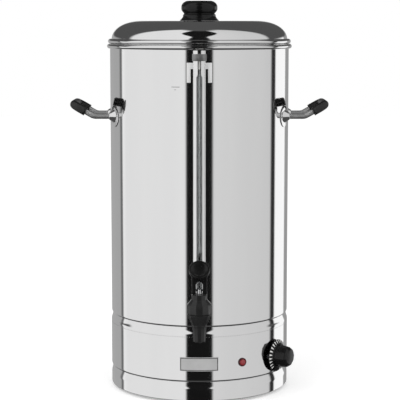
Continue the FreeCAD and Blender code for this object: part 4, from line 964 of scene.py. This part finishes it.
# %% Dial marks
mark_count, mark_span, mark_start, mark_lift = 22, 300.0, 165.0, 0.21
cone_rise = (cone_top[1] - cone_foot[1]) / (cone_foot[0] - cone_top[0])
mark_points = []
mark_up = Matrix.Rotation(math.radians(-mark_start), 3, dial_out) @ Vector((0, 0, 1))
mark_side = dial_out.cross(mark_up)
for radius, sideways in ((22.9, -1.3), (22.9, 1.3), (18.6, 0.4), (18.6, -0.4)):
    height = cone_foot[1] + (cone_foot[0] - radius) * cone_rise + mark_lift
    mark_points.append(Vector(dial_place) + dial_out * height + mark_up * radius + mark_side * sideways)
marks = trace("dial_marks", [tuple(p) for p in mark_points])
bpy.ops.mesh.select_all(action="SELECT")
bpy.ops.mesh.edge_face_add()
bpy.ops.mesh.select_all(action="SELECT")
bpy.ops.mesh.spin(
    steps=mark_count - 1, angle=math.radians(mark_span), dupli=True,
    center=Vector(dial_place) * MM, axis=-dial_out)
bpy.ops.object.mode_set(mode="OBJECT")
finish_piece(marks, "dial", white_paint, "black_plastic")

# %% [markdown]
# The lamp is a low ring with a domed lens inside it. Both are turned about the line that points
# straight out of the band there.

# %% Lamp
lamp_angle, lamp_height = 27.7, 53.8 + foot_stand
lamp_out = outward(lamp_angle)
lamp_place = tuple(lamp_out * band_radius + Vector((0, 0, lamp_height)))
bezel_outline = [
    (4.8, 0.2), (6.3, 0.2), (6.3, 1.0), (6.0, 1.7), (5.4, 2.1), (4.9, 1.9), (4.8, 1.6), (4.8, 0.2)]
bezel = lathe("lamp_bezel_ring", bezel_outline, 64, lamp_place, lamp_out)
finish_piece(bezel, "urn", lamp_dark, "lamp_ring", "lamp_bezel")
lens_outline = [(0, 0.3), (4.7, 0.3), (4.7, 1.6), (4.4, 2.2), (3.4, 2.9), (1.8, 3.3), (0, 3.4)]
lamp_lens = lathe("lamp_lens_dome", lens_outline, 64, lamp_place, lamp_out, 60)
finish_piece(lamp_lens, "urn", lens_red, "red_lens", "lamp_lens")


# %% [markdown]
# The plate and its border lie on the round band, and a small tick marks the tank beside the
# gauge. Each is a small upright rectangle that the Spin operator sweeps about the urn's axis.

# %% Plate and marks on the wall
def wall_strip(name, radius, thickness, angles, heights):
    """A thin strip that follows the wall between two angles and two heights."""
    start = outward(angles[0])
    points = []
    for r, z in ((radius, heights[0]), (radius + thickness, heights[0]), (radius + thickness, heights[1]),
                 (radius, heights[1]), (radius, heights[0])):
        points.append(tuple(start * r + Vector((0, 0, z + foot_stand))))
    piece = trace(name, points)
    bpy.ops.mesh.select_all(action="SELECT")
    bpy.ops.mesh.remove_doubles(threshold=0.000001)
    bpy.ops.mesh.edge_face_add()
    bpy.ops.mesh.select_all(action="SELECT")
    steps = max(2, int(abs(angles[1] - angles[0])))
    sweep = math.radians(angles[1] - angles[0])
    bpy.ops.mesh.spin(steps=steps, angle=sweep, center=(0, 0, 0), axis=(0, 0, -1))
    tidy_mesh(0.000001)
    bpy.ops.object.mode_set(mode="OBJECT")
    smooth(piece)
    return piece


plate_angles, plate_heights = (-12.1, 11.8), (44.0, 64.0)
plate_seat, plate_sheet, ink_sheet, off_wall = 0.1, 0.6, 0.05, 0.02
plate = wall_strip("bare_plate", band_radius + plate_seat, plate_sheet, plate_angles, plate_heights)
soften(plate, 0.15, 2)
finish_piece(plate, "urn", plate_metal, "plate_steel", "name_plate")
border, border_angle, inset_angle, inset = 0.95, 0.4, 0.35, 0.8
front_face = band_radius + plate_seat + plate_sheet
low, high = plate_heights[0] + inset, plate_heights[1] - inset
left, right = plate_angles[0] + inset_angle, plate_angles[1] - inset_angle
for name, angles, heights in (
        ("border_low", (left, right), (low, low + border)),
        ("border_high", (left, right), (high - border, high)),
        ("border_left", (left, left + border_angle), (low, high)),
        ("border_right", (right - border_angle, right), (low, high))):
    line = wall_strip("plate_" + name, front_face, ink_sheet, angles, heights)
    finish_piece(line, "urn", border_ink, "plate_steel")
for name, angles, heights in (
        ("fill_mark_line", (-17.2, -12.0), (448.4, 449.3)),
        ("fill_mark_foot", (-15.4, -14.3), (444.6, 445.4))):
    line = wall_strip(name, tank_radius + off_wall, ink_sheet, angles, heights)
    finish_piece(line, "urn", mark_ink, "polished_steel")

# %% [markdown]
# ## Spot welds
# A row of small weld marks runs round the band just under its flare, where the sheets are
# joined. There are hundreds of them, so each is one flat eight-sided face just off the wall,
# copied round by the Spin operator.

# %% Spot welds
weld_height, weld_count, weld_radius = 93.6 + foot_stand, 238, 0.62
weld_corners = 8
weld_outline = arc((0, weld_height), weld_radius, 0, 360, weld_corners)[:-1]
welds = trace("weld_dots", [(x, -band_radius - off_wall, z) for x, z in weld_outline])
bpy.ops.mesh.select_all(action="SELECT")
bpy.ops.mesh.edge_face_add()
bpy.ops.mesh.select_all(action="SELECT")
bpy.ops.mesh.spin(
    steps=weld_count, angle=2 * math.pi, dupli=True, center=(0, 0, 0), axis=(0, 0, 1))
bpy.ops.object.mode_set(mode="OBJECT")
finish_piece(welds, "urn", weld_grey, "polished_steel")
